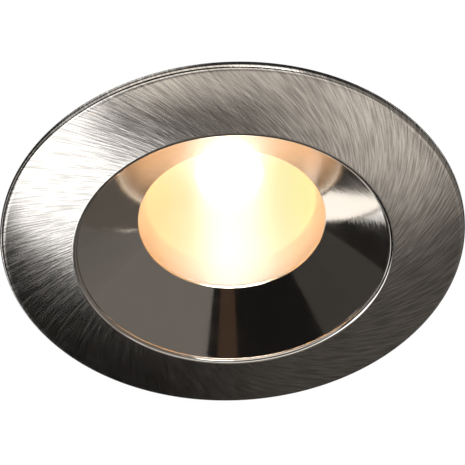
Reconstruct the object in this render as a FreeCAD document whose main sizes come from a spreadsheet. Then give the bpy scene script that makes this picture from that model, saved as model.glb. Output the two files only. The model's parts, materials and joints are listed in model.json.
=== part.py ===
"""A round recessed soffit downlight with two folding spring clips, in millimetres.

The origin is the centre of the ceiling plane, on the upper face of the flange gasket. +Z goes up into
the ceiling void, and the light shines along -Z. The clips stand at +X (right) and -X (left).
"""
import FreeCAD, Part
import math
import os
import re
import Sketcher

App = FreeCAD
Vector = App.Vector
UP = Vector(0, 0, 1)
TURNED = App.Rotation(UP, 180)

doc = App.newDocument("SoffitDownlight")

# The driving sizes. Heights are measured up from the ceiling plane, drops down from it.
SIZES = {
    # trim ring: everything round it follows from the spigot, which drops into the hole
    "spigot_radius": 34.8, "spigot_wall": 1.4, "spigot_height": 4.5, "spigot_chamfer": 0.3,
    "flange_overlap": 7.7, "lip_gap": 0.3, "lip_height": 0.65, "lip_width": 1.3, "edge_round": 0.45,
    "crown_radius": 175, "rim_drop": 2.4, "rim_inset": 6.25, "rim_round": 0.45,
    "step_depth": 0.5, "step_inset": 0.2, "cone_wall": 2.5,
    "aperture_inset": 17.1, "aperture_height": 7.4, "aperture_land": 0.6,
    "trim_screw_inset": 8.8, "trim_boss_radius": 2.7,
    # seals and the lens stack
    "gasket_thickness": 0.8, "gasket_land": 1.4, "gasket_clearance": 0.2, "gasket_edge_gap": 0.2,
    "lens_inset": 14.2, "lens_clearance": 0.3, "lens_thickness": 2.2, "lens_chamfer": 0.3,
    "tube_wall": 2.3, "tube_lead": 0.2, "lens_seal": 0.8, "lens_seal_inset": 0.7,
    "clamp_ring": 1.4, "clamp_ring_wall": 1.4, "body_seal": 0.6, "seal_margin": 0.3,
    # reflector
    "reflector_lip": 3.2, "reflector_rim": 1.0, "reflector_wall": 0.8, "reflector_curve": 22,
    "reflector_gap": 0.2, "reflector_apex_gap": 0.1, "reflector_fit": 0.1, "reflector_edge": 0.2,
    # housing
    "chamber_ledge": 0.6, "floor_height": 25.2, "floor_thickness": 3,
    "housing_height": 46, "housing_flange_inset": 4.8, "housing_flange_thickness": 2.4,
    "fin_thickness": 1.3, "fin_root": 0.5, "fin_top_gap": 2.6, "fin_slope": 3.2, "fin_count": 40,
    "clip_bay_fins": 2.5, "bay_margin": 1.4, "screw_bay": 2.9,
    "clip_pad_rise": 0.4, "clip_pad_width": 8.4, "clip_pad_top": 24.6,
    "cover_boss_offset": 2, "cover_boss_radius": 2.7, "cover_boss_height": 12,
    # light source
    "pad_thickness": 0.3, "board_inset": 12, "board_thickness": 1, "emitter_gap": 1.3,
    "emitter_height": 0.4, "emitter_edge": 0.2, "holder_inset": 5.6, "holder_front": 1.4,
    "window_inset": 13.7, "holder_screw_inset": 2.5, "holder_edge": 0.6, "pocket_clearance": 0.1,
    # driver
    "liner_wall": 1, "liner_clearance": 0.3, "liner_gap": 0.7, "liner_shelf": 2.1,
    "shelf_height": 4, "circuit_thickness": 1.6, "circuit_clearance": 0.3,
    "lead_radius": 0.55, "lead_inset": 3.4, "lead_spread": 1.6, "lead_bend": 1.3, "lead_drop": 1.5,
    "lead_hole": 0.85, "lead_end_gap": 0.2,
    "core_x": 7.5, "core_y": 4, "core_width": 11, "core_depth": 5, "core_leg": 1.5, "core_middle": 3,
    "core_clearance": 2.3, "winding_gap": 0.1, "winding_build": 2.1,
    "capacitor_x": 6.5, "capacitor_y": 8.5, "capacitor_radius": 4, "capacitor_clearance": 1.3,
    "output_capacitor_x": 10.5, "output_capacitor_y": -1, "output_capacitor_radius": 3.2,
    "output_capacitor_clearance": 2.8, "can_groove": 0.35, "can_edge": 0.4,
    "terminal_inset": 3, "terminal_width": 12, "terminal_depth": 7.5, "terminal_clearance": 2.3,
    "terminal_pitch": 6, "terminal_mouth": 1.2, "terminal_mouth_inset": 2.2, "terminal_mouth_depth": 5,
    "terminal_slot": 1.6, "terminal_slot_inset": 4.4, "terminal_slot_depth": 1.8,
    "rectifier_x": 11.25, "rectifier_y": 6.5, "rectifier_width": 5.5, "rectifier_depth": 4,
    "rectifier_height": 2.6,
    # rear cover and gland
    "cover_thickness": 2.5, "rear_seal": 0.5, "cover_skirt": 1.6, "cover_skirt_wall": 1.6,
    "cover_edge_chamfer": 0.6, "gland_thread": 6, "gland_bore": 3.9, "gland_flats": 7.5,
    "gland_hex_height": 4, "gland_neck": 5.5, "gland_neck_height": 5, "gland_nut_height": 8.4,
    "gland_mouth": 3.6, "gland_mouth_depth": 2.2, "gland_seal_wall": 1.1, "gland_seal_bore": 3.75,
    "gland_nut_gap": 0.3, "gland_dome_height": 3.8, "gland_dome_rim": 1.4, "gland_shank_end": 0.6,
    "gland_seal_floor": 0.5, "gland_seal_rise": 0.2,
    "lock_nut_flats": 8, "lock_nut_height": 2.4, "gland_clearance": 0.15,
    # spring clips
    "bracket_sheet": 1, "bracket_ear_radius": 2.9, "bracket_foot": 3.4, "bracket_top": 9.5,
    "bracket_corner": 1.5, "pin_height": 14, "pin_radius": 1.5, "pin_head": 2.3, "pin_fit": 0.06,
    "rest_angle": 29,
    "arm_sheet": 0.8, "arm_half_width": 7, "arm_length": 13, "arm_knuckle": 2.75,
    "ear_length": 9, "foot_half_width": 4.8, "foot_start": 10.5, "foot_curve": 3.2, "foot_angle": 45,
    "sleeve_wall": 0.8, "sleeve_start": 11.6, "sleeve_fit": 0.08,
    "coil_radius": 2.4, "spring_wire": 0.45, "coil_pitch": 1.35, "coil_turns": 5,
    "spring_clearance": 0.1, "wall_leg": 4, "arm_leg": 8.5,
    # screws
    "screw_fit": 0.05, "trim_screw": 1.45, "trim_screw_length": 9, "trim_screw_head": 2.6,
    "small_screw": 1.2, "small_screw_head": 2.1, "small_screw_length": 6, "holder_screw_length": 4.6,
    "bracket_screw_length": 3, "bracket_screw_rise": 6.9, "bracket_screw_spread": 4.6,
    "screw_head_height": 1.8, "small_head_height": 1.4, "drive_radius": 1.3, "drive_depth": 0.9,
    "screw_chamfer": 0.4, "hole_spare": 0.5,
}

# Sizes that follow from those above.
FOLLOWING = {
    "flange_radius": "spigot_radius + flange_overlap",
    "rim_radius": "spigot_radius - rim_inset",
    "aperture_radius": "spigot_radius - aperture_inset",
    "trim_screw_circle": "spigot_radius - trim_screw_inset",
    "lens_radius": "spigot_radius - lens_inset",
    "tube_radius": "lens_radius + lens_clearance + tube_wall",
    "clamp_ring_inner": "lens_radius - clamp_ring_wall",
    "reflector_mouth": "lens_radius - reflector_lip",
    "chamber_radius": "lens_radius - chamber_ledge",
    "bay_radius": "lens_radius",
    "fin_radius": "spigot_radius - housing_flange_inset",
    "fin_top": "housing_height - fin_top_gap",
    "clip_pad": "tube_radius + clip_pad_rise",
    "cover_boss_circle": "tube_radius + cover_boss_offset",
    "board_side": "2 * (chamber_radius - board_inset)",
    "holder_window": "chamber_radius - window_inset",
    "emitter_radius": "holder_window - emitter_gap",
    "reflector_apex": "holder_window - reflector_apex_gap",
    "holder_radius": "chamber_radius - holder_inset",
    "holder_screw_circle": "holder_radius - holder_screw_inset",
    "lead_circle": "chamber_radius - lead_inset",
    "circuit_radius": "bay_radius - liner_clearance - liner_wall - circuit_clearance",
}
NAMES = {**SIZES, **FOLLOWING}

sheet = doc.addObject("Spreadsheet::Sheet", "Sizes")
for row, (word, size) in enumerate(NAMES.items(), start=1):
    sheet.set(f"A{row}", word)
    sheet.set(f"B{row}", f"={size}")
    sheet.setAlias(f"B{row}", word)
doc.recompute()

# Lengths that several pieces share, as formulas of the sizes above.
CONE_START = "(rim_drop - rim_round - step_depth)"          # drop of the cone's outer end
CONE_MOUTH = "(rim_radius - step_inset)"
CONE_SLOPE = f"((aperture_height + {CONE_START}) / ({CONE_MOUTH} - aperture_radius))"
LENS_BORE = "(lens_radius + lens_clearance)"
SEAT = "(aperture_height + aperture_land)"
LENS_BOTTOM = f"({SEAT} + lens_seal)"
LENS_TOP = f"({LENS_BOTTOM} + lens_thickness)"
RIM_TOP = f"({LENS_TOP} + reflector_rim)"
TUBE_TOP = f"({RIM_TOP} + tube_lead)"
HOUSING_BOTTOM = f"({TUBE_TOP} + body_seal)"
SHOULDER = f"({RIM_TOP} + clamp_ring)"
BOARD_BOTTOM = "(floor_height - pad_thickness - board_thickness)"
HOLDER_BOTTOM = f"({BOARD_BOTTOM} - holder_front)"
APEX_TOP = f"({HOLDER_BOTTOM} - reflector_gap)"
BAY_FLOOR = "(floor_height + floor_thickness)"
SHELF = f"({BAY_FLOOR} + shelf_height)"
CIRCUIT_TOP = f"({SHELF} + circuit_thickness)"
COVER_BOTTOM = "(housing_height + rear_seal)"
COVER_TOP = f"({COVER_BOTTOM} + cover_thickness)"
LINER_TOP = f"({COVER_BOTTOM} - cover_skirt - liner_gap)"
HEADROOM = f"({COVER_BOTTOM} - lock_nut_height - {CIRCUIT_TOP})"    # over the circuit board
PIN_REACH = "(clip_pad + bracket_sheet + spring_clearance + coil_radius + spring_wire)"
WEB_INNER = "(coil_radius + spring_wire + spring_clearance)"
WEB_OUTER = f"({WEB_INNER} + arm_sheet)"
FOOT_CENTRE = f"(foot_curve - {WEB_INNER})"


# ---------------------------------------------------------------- helpers
def linked(text):
    """A formula with each size's name pointed at the sheet."""
    return re.sub(r"[a-z_]+", lambda m: "Sizes." + m[0] if m[0] in NAMES else m[0], str(text))


def value(text):
    """The number that a formula gives now."""
    return float(sheet.evalExpression(linked(text)))


def new_body(label):
    """An empty body whose label is its node's name."""
    body = doc.addObject("PartDesign::Body", label)
    body.Label = label
    return body


def sketch_on(body, role, height="0"):
    """A sketch on one of the body's origin planes, lifted along the plane's normal."""
    sketch = body.newObject("Sketcher::SketchObject", f"{body.Label}_sketch")
    plane = next(f for f in body.Origin.OriginFeatures if f.Role == role)
    sketch.AttachmentSupport = [(plane, "")]
    sketch.MapMode = "FlatFace"
    sketch.setExpression("AttachmentOffset.Base.z", linked(height))
    return sketch


def hold(sketch, kind, *where, size):
    """A named dimension, bound to a formula."""
    number = sketch.addConstraint(Sketcher.Constraint(kind, *where, value(size)))
    sketch.setExpression(f"Constraints[{number}]", linked(size))


def round_side(start, end, radius):
    """The short arc of a radius from start to end, turning left."""
    chord = end - start
    rise = math.sqrt(radius**2 - chord.Length**2 / 4)
    left = Vector(-chord.y, chord.x, 0).normalize()
    centre = (start + end) / 2 + left * rise
    first = math.atan2(start.y - centre.y, start.x - centre.x)
    sweep = 2 * math.asin(chord.Length / 2 / radius)
    return Part.ArcOfCircle(Part.Circle(centre, UP, radius), first, first + sweep)


def outline(sketch, corners, left=None, right=None):
    """A closed outline. left and right give the radius of each side that is an arc turning that way,
    by the number of the corner where it starts."""
    left = left or {}
    right = right or {}
    spots = [Vector(value(x), value(y), 0) for x, y in corners]
    first = sketch.GeometryCount
    for i, spot in enumerate(spots):
        after = spots[(i + 1) % len(spots)]
        if i in left:
            sketch.addGeometry(round_side(spot, after, value(left[i])))
        elif i in right:
            sketch.addGeometry(round_side(after, spot, value(right[i])))
        else:
            sketch.addGeometry(Part.LineSegment(spot, after))
    for i, (x, y) in enumerate(corners):
        n = (i + 1) % len(corners)
        end = 1 if i in right else 2
        start = 2 if n in right else 1
        sketch.addConstraint(Sketcher.Constraint("Coincident", first + i, end, first + n, start))
        mine = 2 if i in right else 1
        hold(sketch, "DistanceX", -1, 1, first + i, mine, size=x)
        hold(sketch, "DistanceY", -1, 1, first + i, mine, size=y)
        if i in left or i in right:
            hold(sketch, "Radius", first + i, size=left.get(i, right.get(i)))


def circle(sketch, x, y, radius):
    """A circle at (x, y)."""
    number = sketch.addGeometry(Part.Circle(Vector(value(x), value(y), 0), UP, value(radius)))
    hold(sketch, "DistanceX", -1, 1, number, 3, size=x)
    hold(sketch, "DistanceY", -1, 1, number, 3, size=y)
    hold(sketch, "Radius", number, size=radius)


def rectangle(sketch, x0, y0, x1, y1):
    """An upright rectangle between two corners."""
    outline(sketch, [(x0, y0), (x1, y0), (x1, y1), (x0, y1)])


def feature(body, kind, sketch):
    """A PartDesign feature of a sketch."""
    made = body.newObject("PartDesign::" + kind, f"{body.Label}_{kind.lower()}")
    made.Profile = (sketch, [""])
    return made


def revolve(body, sketch):
    """The sketch turned a full circle about its upright axis."""
    made = feature(body, "Revolution", sketch)
    made.ReferenceAxis = (sketch, ["V_Axis"])
    made.Angle = 360
    doc.recompute()
    return made


def pad(body, sketch, length, symmetric=False, down=False):
    """The sketch thickened by a length."""
    made = feature(body, "Pad", sketch)
    made.setExpression("Length", linked(length))
    made.SideType = "Symmetric" if symmetric else "One side"
    made.Reversed = down
    doc.recompute()
    return made


def cut(body, sketch, length=None, symmetric=False, up=False):
    """The sketch taken out of the body, right through unless a length is given."""
    before = body.Shape.Volume
    made = feature(body, "Pocket", sketch)
    if length is None:
        made.Type = "ThroughAll"
    else:
        made.setExpression("Length", linked(length))
    made.SideType = "Symmetric" if symmetric else "One side"
    made.Reversed = up
    doc.recompute()
    must_have_cut(body, before)
    return made


def groove(body, sketch):
    """The sketch turned about its upright axis and taken out of the body."""
    before = body.Shape.Volume
    made = feature(body, "Groove", sketch)
    made.ReferenceAxis = (sketch, ["V_Axis"])
    made.Angle = 360
    doc.recompute()
    must_have_cut(body, before)
    return made


def must_have_cut(body, before):
    """Stops the build where a cut has missed its piece."""
    if body.Shape.Volume > before - 0.01:
        raise SystemExit(f"a cut in {body.Label} took nothing away")


def around(body, originals, sketch, count):
    """Features repeated round the sketch's normal."""
    made = body.newObject("PartDesign::PolarPattern", f"{body.Label}_pattern")
    made.Originals = originals
    made.Axis = (sketch, ["N_Axis"])
    made.Angle = 360
    made.Occurrences = count
    body.Tip = made
    doc.recompute()
    return made


def lathe(label, corners, left=None, right=None):
    """A round piece turned from its half section, in radius and height."""
    body = new_body(label)
    sketch = sketch_on(body, "XZ_Plane")
    outline(sketch, corners, left, right)
    revolve(body, sketch)
    return body


def ring(label, inner, outer, low, high):
    """A plain flat ring or washer."""
    return lathe(label, [(inner, low), (outer, low), (outer, high), (inner, high)])


def hexagon(flats):
    """The corners of a hexagon whose flats lie at a distance from its centre."""
    corner = f"{flats} / cos(30)"
    return [(f"{corner} * cos({60 * k})", f"{corner} * sin({60 * k})") for k in range(6)]


def at_angle(radius, degrees):
    """A point on a circle in plan, as two formulas."""
    return f"{radius} * cos({degrees})", f"{radius} * sin({degrees})"


def spot_vector(x, y, z):
    """A point from three formulas."""
    return Vector(value(x), value(y), value(z))


# ---------------------------------------------------------------- trim ring and its seals
TRIM_SCREW_ANGLES = (45, 135, 225, 315)
COVER_SCREW_ANGLES = (90, 270)


def cone_back_height(radius):
    """The height of the cone's back at a radius."""
    return f"(({CONE_MOUTH} + cone_wall - {radius}) * {CONE_SLOPE} - {CONE_START})"


def make_trim_ring():
    """Flange, rim, cone and lens tube, cast in one piece and turned."""
    body = new_body("trim_ring")
    blank = sketch_on(body, "XZ_Plane")
    lip_in = "(flange_radius - lip_width)"
    front_edge = "(lip_gap + lip_height + edge_round)"
    spigot_in = "(spigot_radius - spigot_wall)"
    outline(blank, [
        ("0", "-rim_drop"),
        ("rim_radius + rim_round", "-rim_drop"),
        ("flange_radius - edge_round", f"-{front_edge}"),
        ("flange_radius", "-(lip_gap + lip_height)"),
        ("flange_radius", "-lip_gap"),
        (lip_in, "-lip_gap"),
        (lip_in, "-gasket_thickness"),
        ("spigot_radius + gasket_land", "-gasket_thickness"),
        ("spigot_radius + gasket_land", "0"),
        ("spigot_radius", "0"),
        ("spigot_radius", "spigot_height - spigot_chamfer"),
        ("spigot_radius - spigot_chamfer", "spigot_height"),
        (spigot_in, "spigot_height"),
        (spigot_in, "-gasket_thickness"),
        (f"{CONE_MOUTH} + cone_wall - ({CONE_START} - gasket_thickness) / {CONE_SLOPE}",
         "-gasket_thickness"),
        ("tube_radius", cone_back_height("tube_radius")),
        ("tube_radius", TUBE_TOP),
        ("0", TUBE_TOP),
    ], left={1: "crown_radius", 2: "edge_round"})
    revolve(body, blank)
    bosses = sketch_on(body, "XY_Plane", "-gasket_thickness")
    for degrees in TRIM_SCREW_ANGLES:
        circle(bosses, *at_angle("trim_screw_circle", degrees), "trim_boss_radius")
    pad(body, bosses, f"{HOUSING_BOTTOM} + gasket_thickness")
    recess = sketch_on(body, "XZ_Plane")
    outline(recess, [
        ("0", "-rim_drop - rim_round"),
        ("rim_radius + rim_round", "-rim_drop - rim_round"),
        ("rim_radius + rim_round", "-rim_drop"),
        ("rim_radius", "rim_round - rim_drop"),
        (CONE_MOUTH, f"-{CONE_START}"),
        ("aperture_radius", "aperture_height"),
        ("aperture_radius", SEAT),
        (LENS_BORE, SEAT),
        (LENS_BORE, f"{HOUSING_BOTTOM} + 1"),
        ("0", f"{HOUSING_BOTTOM} + 1"),
    ], right={2: "rim_round"})
    groove(body, recess)
    holes = sketch_on(body, "XY_Plane", HOUSING_BOTTOM)
    for degrees in TRIM_SCREW_ANGLES:
        circle(holes, *at_angle("trim_screw_circle", degrees), "trim_screw + screw_fit")
    cut(body, holes, "trim_screw_length - housing_flange_thickness + hole_spare")


make_trim_ring()
ring("flange_gasket", "spigot_radius + gasket_land + gasket_clearance",
     "flange_radius - lip_width - gasket_edge_gap", "-gasket_thickness", "0")
ring("lens_seal", "aperture_radius + lens_seal_inset", f"{LENS_BORE} - seal_margin", SEAT, LENS_BOTTOM)
lathe("front_lens", [
    ("0", LENS_BOTTOM),
    ("lens_radius - lens_chamfer", LENS_BOTTOM),
    ("lens_radius", f"{LENS_BOTTOM} + lens_chamfer"),
    ("lens_radius", f"{LENS_TOP} - lens_chamfer"),
    ("lens_radius - lens_chamfer", LENS_TOP),
    ("0", LENS_TOP),
])
lathe("reflector", [
    ("reflector_mouth", LENS_TOP),
    ("lens_radius - reflector_fit", LENS_TOP),
    ("lens_radius - reflector_fit", RIM_TOP),
    ("reflector_mouth + reflector_wall - reflector_edge", RIM_TOP),
    ("reflector_apex + reflector_wall + reflector_edge", APEX_TOP),
    ("reflector_apex", APEX_TOP),
], left={3: "reflector_curve + reflector_wall"}, right={5: "reflector_curve"})
ring("clamp_ring", "clamp_ring_inner", "lens_radius", RIM_TOP, SHOULDER)
ring("body_seal", f"{LENS_BORE} + seal_margin", "tube_radius - seal_margin", TUBE_TOP, HOUSING_BOTTOM)


# ---------------------------------------------------------------- housing
def make_housing():
    """A die-cast barrel: lens chamber below, driver bay above, fins outside, flats for the clips."""
    body = new_body("housing")
    barrel = sketch_on(body, "XZ_Plane")
    flange_top = f"({HOUSING_BOTTOM} + housing_flange_thickness)"
    outline(barrel, [
        ("0", HOUSING_BOTTOM),
        ("fin_radius", HOUSING_BOTTOM),
        ("fin_radius", flange_top),
        ("tube_radius", flange_top),
        ("tube_radius", "housing_height"),
        ("0", "housing_height"),
    ])
    revolve(body, barrel)
    fin = sketch_on(body, "XZ_Plane")
    outline(fin, [
        ("tube_radius - fin_root", f"{flange_top} - fin_root"),
        ("fin_radius", f"{flange_top} - fin_root"),
        ("fin_radius", "fin_top - fin_slope"),
        ("fin_radius - fin_slope", "fin_top"),
        ("tube_radius - fin_root", "fin_top"),
    ])
    first_fin = pad(body, fin, "fin_thickness", symmetric=True)
    plan = sketch_on(body, "XY_Plane", "housing_height")
    around(body, [first_fin], plan, int(value("fin_count")))
    for degrees in COVER_SCREW_ANGLES:
        circle(plan, *at_angle("cover_boss_circle", degrees), "cover_boss_radius")
    pad(body, plan, "cover_boss_height", down=True)
    bays = sketch_on(body, "XY_Plane", f"{HOUSING_BOTTOM} - 1")
    widening = "tan(clip_bay_fins * 360 / fin_count)"
    past = "(fin_radius + 2)"
    near_half = "(clip_pad_width + bay_margin)"
    far_half = f"({near_half} + ({past} - clip_pad) * {widening})"
    for side in (-1, 1):
        outline(bays, [
            (f"{side} * clip_pad", f"-{near_half}"),
            (f"{side} * {past}", f"-{far_half}"),
            (f"{side} * {past}", far_half),
            (f"{side} * clip_pad", near_half),
        ])
    cut(body, bays, up=True)
    screw_bays = sketch_on(body, "XY_Plane", flange_top)
    for degrees in TRIM_SCREW_ANGLES:
        sides = (("tube_radius", -1), (past, -1), (past, 1), ("tube_radius", 1))
        outline(screw_bays, [
            (f"{along} * cos({degrees}) - {side} * screw_bay * sin({degrees})",
             f"{along} * sin({degrees}) + {side} * screw_bay * cos({degrees})")
            for along, side in sides
        ])
    cut(body, screw_bays, up=True)
    pads = sketch_on(body, "XY_Plane", HOUSING_BOTTOM)
    rectangle(pads, "chamber_radius", "-clip_pad_width", "clip_pad", "clip_pad_width")
    rectangle(pads, "-clip_pad", "-clip_pad_width", "-chamber_radius", "clip_pad_width")
    pad(body, pads, f"clip_pad_top - {HOUSING_BOTTOM}")
    hollow = sketch_on(body, "XZ_Plane")
    outline(hollow, [
        ("0", f"{HOUSING_BOTTOM} - 1"),
        (LENS_BORE, f"{HOUSING_BOTTOM} - 1"),
        (LENS_BORE, SHOULDER),
        ("chamber_radius", SHOULDER),
        ("chamber_radius", "floor_height"),
        ("0", "floor_height"),
    ])
    groove(body, hollow)
    bay = sketch_on(body, "XZ_Plane")
    outline(bay, [
        ("0", BAY_FLOOR),
        ("bay_radius", BAY_FLOOR),
        ("bay_radius", "housing_height + 1"),
        ("0", "housing_height + 1"),
    ])
    groove(body, bay)
    trim_holes = sketch_on(body, "XY_Plane", flange_top)
    for degrees in TRIM_SCREW_ANGLES:
        circle(trim_holes, *at_angle("trim_screw_circle", degrees), "trim_screw + screw_fit")
    cut(body, trim_holes, "housing_flange_thickness + 0.1")
    cover_holes = sketch_on(body, "XY_Plane", "housing_height")
    for degrees in COVER_SCREW_ANGLES:
        circle(cover_holes, *at_angle("cover_boss_circle", degrees), "small_screw + screw_fit")
    cut(body, cover_holes, "small_screw_length - cover_thickness + hole_spare")
    floor_holes = sketch_on(body, "XY_Plane", "floor_height")
    for side in (-1, 1):
        circle(floor_holes, f"{side} * holder_screw_circle", "0", "small_screw + screw_fit")
    cut(body, floor_holes, "floor_thickness - 0.6", up=True)
    lead_holes = sketch_on(body, "XY_Plane", "floor_height")
    for side in (-1, 1):
        circle(lead_holes, f"{side} * lead_spread", "lead_circle", "lead_hole")
    cut(body, lead_holes, "floor_thickness + 0.1", up=True)
    bracket_holes = sketch_on(body, "YZ_Plane")
    for side in (-1, 1):
        circle(bracket_holes, f"{side} * bracket_screw_spread", "pin_height + bracket_screw_rise",
               "small_screw + screw_fit")
    cut(body, bracket_holes, "2 * clip_pad", symmetric=True)


make_housing()


# ---------------------------------------------------------------- screws
def one_screw(label, radius, length, head, head_height, place):
    """A socket screw with its head's seat at the placement's origin and its shank pointing down."""
    body = new_body(label)
    side = sketch_on(body, "XZ_Plane")
    outline(side, [
        ("0", f"-{length}"),
        (f"{radius} - screw_chamfer", f"-{length}"),
        (radius, f"screw_chamfer - {length}"),
        (radius, "0"),
        (head, "0"),
        (head, f"{head_height} - screw_chamfer"),
        (f"{head} - screw_chamfer", head_height),
        ("0", head_height),
    ])
    revolve(body, side)
    socket = sketch_on(body, "XY_Plane", head_height)
    outline(socket, hexagon(f"drive_radius * {head} / trim_screw_head"))
    cut(body, socket, "drive_depth")
    body.Placement = place
    return body


def screw_group(label, places, radius, length, head, head_height):
    """Identical screws, kept as separate solids under one name."""
    screws = [
        one_screw(f"{label}_{number}", radius, length, head, head_height, place)
        for number, place in enumerate(places, start=1)
    ]
    group = doc.addObject("Part::Compound", label)
    group.Label = label
    group.Links = screws


upright = App.Rotation()
head_down = App.Rotation(Vector(1, 0, 0), 180)
screw_group("trim_screws", [
    App.Placement(spot_vector(*at_angle("trim_screw_circle", degrees),
                              f"{HOUSING_BOTTOM} + housing_flange_thickness"), upright)
    for degrees in TRIM_SCREW_ANGLES
], "trim_screw", "trim_screw_length", "trim_screw_head", "screw_head_height")
screw_group("rear_cover_screws", [
    App.Placement(spot_vector(*at_angle("cover_boss_circle", degrees), COVER_TOP), upright)
    for degrees in COVER_SCREW_ANGLES
], "small_screw", "small_screw_length", "small_screw_head", "small_head_height")
screw_group("led_holder_screws", [
    App.Placement(spot_vector(f"{side} * holder_screw_circle", "0", HOLDER_BOTTOM), head_down)
    for side in (-1, 1)
], "small_screw", "holder_screw_length", "small_screw_head", "small_head_height")
screw_group("clip_bracket_screws", [
    App.Placement(spot_vector(f"{side} * (clip_pad + bracket_sheet)",
                              f"{across} * bracket_screw_spread",
                              "pin_height + bracket_screw_rise"),
                  App.Rotation(UP, Vector(side, 0, 0)))
    for side in (-1, 1) for across in (-1, 1)
], "small_screw", "bracket_screw_length", "small_screw_head", "small_head_height")


# ---------------------------------------------------------------- light source
def square_plate(label, side, low, thickness):
    """A square plate centred on the axis."""
    body = new_body(label)
    plan = sketch_on(body, "XY_Plane", low)
    rectangle(plan, f"-{side} / 2", f"-{side} / 2", f"{side} / 2", f"{side} / 2")
    pad(body, plan, thickness)
    return body


def make_led_holder():
    """A round plastic holder that presses the board to the housing's floor."""
    body = new_body("led_holder")
    section = sketch_on(body, "XZ_Plane")
    outline(section, [
        ("holder_window", BOARD_BOTTOM),
        ("holder_window + 0.5", f"{HOLDER_BOTTOM} + 0.3"),
        ("holder_window + 1", HOLDER_BOTTOM),
        ("holder_radius - holder_edge", HOLDER_BOTTOM),
        ("holder_radius", f"{HOLDER_BOTTOM} + holder_edge"),
        ("holder_radius", "floor_height"),
        ("holder_window", "floor_height"),
    ])
    revolve(body, section)
    pocket = sketch_on(body, "XY_Plane", BOARD_BOTTOM)
    edge = "(board_side / 2 + pocket_clearance)"
    rectangle(pocket, f"-{edge}", f"-{edge}", edge, edge)
    cut(body, pocket, up=True)
    holes = sketch_on(body, "XY_Plane", "floor_height")
    for side in (-1, 1):
        circle(holes, f"{side} * holder_screw_circle", "0", "small_screw + screw_fit")
    cut(body, holes)


square_plate("thermal_pad", "board_side", "floor_height - pad_thickness", "pad_thickness")
square_plate("led_board", "board_side", BOARD_BOTTOM, "board_thickness")
lathe("led_emitter", [
    ("0", f"{BOARD_BOTTOM} - emitter_height"),
    ("emitter_radius - emitter_edge", f"{BOARD_BOTTOM} - emitter_height"),
    ("emitter_radius", f"{BOARD_BOTTOM} - emitter_height + emitter_edge"),
    ("emitter_radius", BOARD_BOTTOM),
    ("0", BOARD_BOTTOM),
])
make_led_holder()


# ---------------------------------------------------------------- driver
def make_liner():
    """The insulating cup that the circuit board stands in."""
    outer = "(bay_radius - liner_clearance)"
    body = lathe("driver_liner", [
        ("0", BAY_FLOOR),
        (outer, BAY_FLOOR),
        (outer, LINER_TOP),
        (f"{outer} - liner_wall", LINER_TOP),
        (f"{outer} - liner_wall", SHELF),
        (f"{outer} - liner_shelf", SHELF),
        (f"{outer} - liner_shelf", f"{BAY_FLOOR} + liner_wall"),
        ("0", f"{BAY_FLOOR} + liner_wall"),
    ])
    holes = sketch_on(body, "XY_Plane", BAY_FLOOR)
    for side in (-1, 1):
        circle(holes, f"{side} * lead_spread", "lead_circle", "lead_hole")
    cut(body, holes, "liner_wall + 0.1", up=True)


def make_lead(label, side):
    """One insulated wire from the circuit board down to the side of the LED holder."""
    x = value(f"{side} * lead_spread")
    y = value("lead_circle")
    bend = value("lead_bend")
    top = value(SHELF)
    low = value("floor_height - lead_drop")
    end_y = math.sqrt(value("holder_radius + lead_end_gap")**2 - (abs(x) - value("lead_radius"))**2)
    curve_end = Vector(x, y - bend, low)
    middle = Vector(x, y - bend + bend * math.cos(math.pi / 4), low + bend - bend * math.sin(math.pi / 4))
    path = Part.Wire([
        Part.LineSegment(Vector(x, y, top), Vector(x, y, low + bend)).toShape(),
        Part.Arc(Vector(x, y, low + bend), middle, curve_end).toShape(),
        Part.LineSegment(curve_end, Vector(x, end_y, low)).toShape(),
    ])
    section = Part.Wire([Part.Circle(Vector(x, y, top), UP, value("lead_radius")).toShape()])
    lead = doc.addObject("Part::Feature", label)
    lead.Label = label
    lead.Shape = path.makePipeShell([section], True, False)


def block(label, x0, y0, x1, y1, low, height):
    """A rectangular block."""
    body = new_body(label)
    plan = sketch_on(body, "XY_Plane", low)
    rectangle(plan, x0, y0, x1, y1)
    pad(body, plan, height)
    return body


def make_transformer():
    """A ferrite frame with a wound bobbin on its middle leg."""
    core = new_body("transformer_core")
    face = sketch_on(core, "XZ_Plane")
    height = f"({HEADROOM} - core_clearance)"
    rectangle(face, "-core_width / 2", CIRCUIT_TOP, "core_width / 2", f"{CIRCUIT_TOP} + {height}")
    for inner, outer in (("core_leg - core_width / 2", "-core_middle / 2"),
                         ("core_middle / 2", "core_width / 2 - core_leg")):
        rectangle(face, inner, f"{CIRCUIT_TOP} + core_leg", outer, f"{CIRCUIT_TOP} + {height} - core_leg")
    pad(core, face, "core_depth", symmetric=True)
    core.Placement = App.Placement(spot_vector("-core_x", "core_y", "0"), upright)
    winding = new_body("transformer_winding")
    plan = sketch_on(winding, "XY_Plane", f"{CIRCUIT_TOP} + core_leg + winding_gap")
    outer_x = "(core_width / 2 - core_leg - 2 * winding_gap)"
    outer_y = "(core_depth / 2 + winding_build)"
    rectangle(plan, f"-{outer_x}", f"-{outer_y}", outer_x, outer_y)
    inner_x = "(core_middle / 2 + winding_gap)"
    inner_y = "(core_depth / 2 + winding_gap)"
    rectangle(plan, f"-{inner_x}", f"-{inner_y}", inner_x, inner_y)
    pad(winding, plan, f"{height} - 2 * (core_leg + winding_gap)")
    winding.Placement = core.Placement


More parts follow.
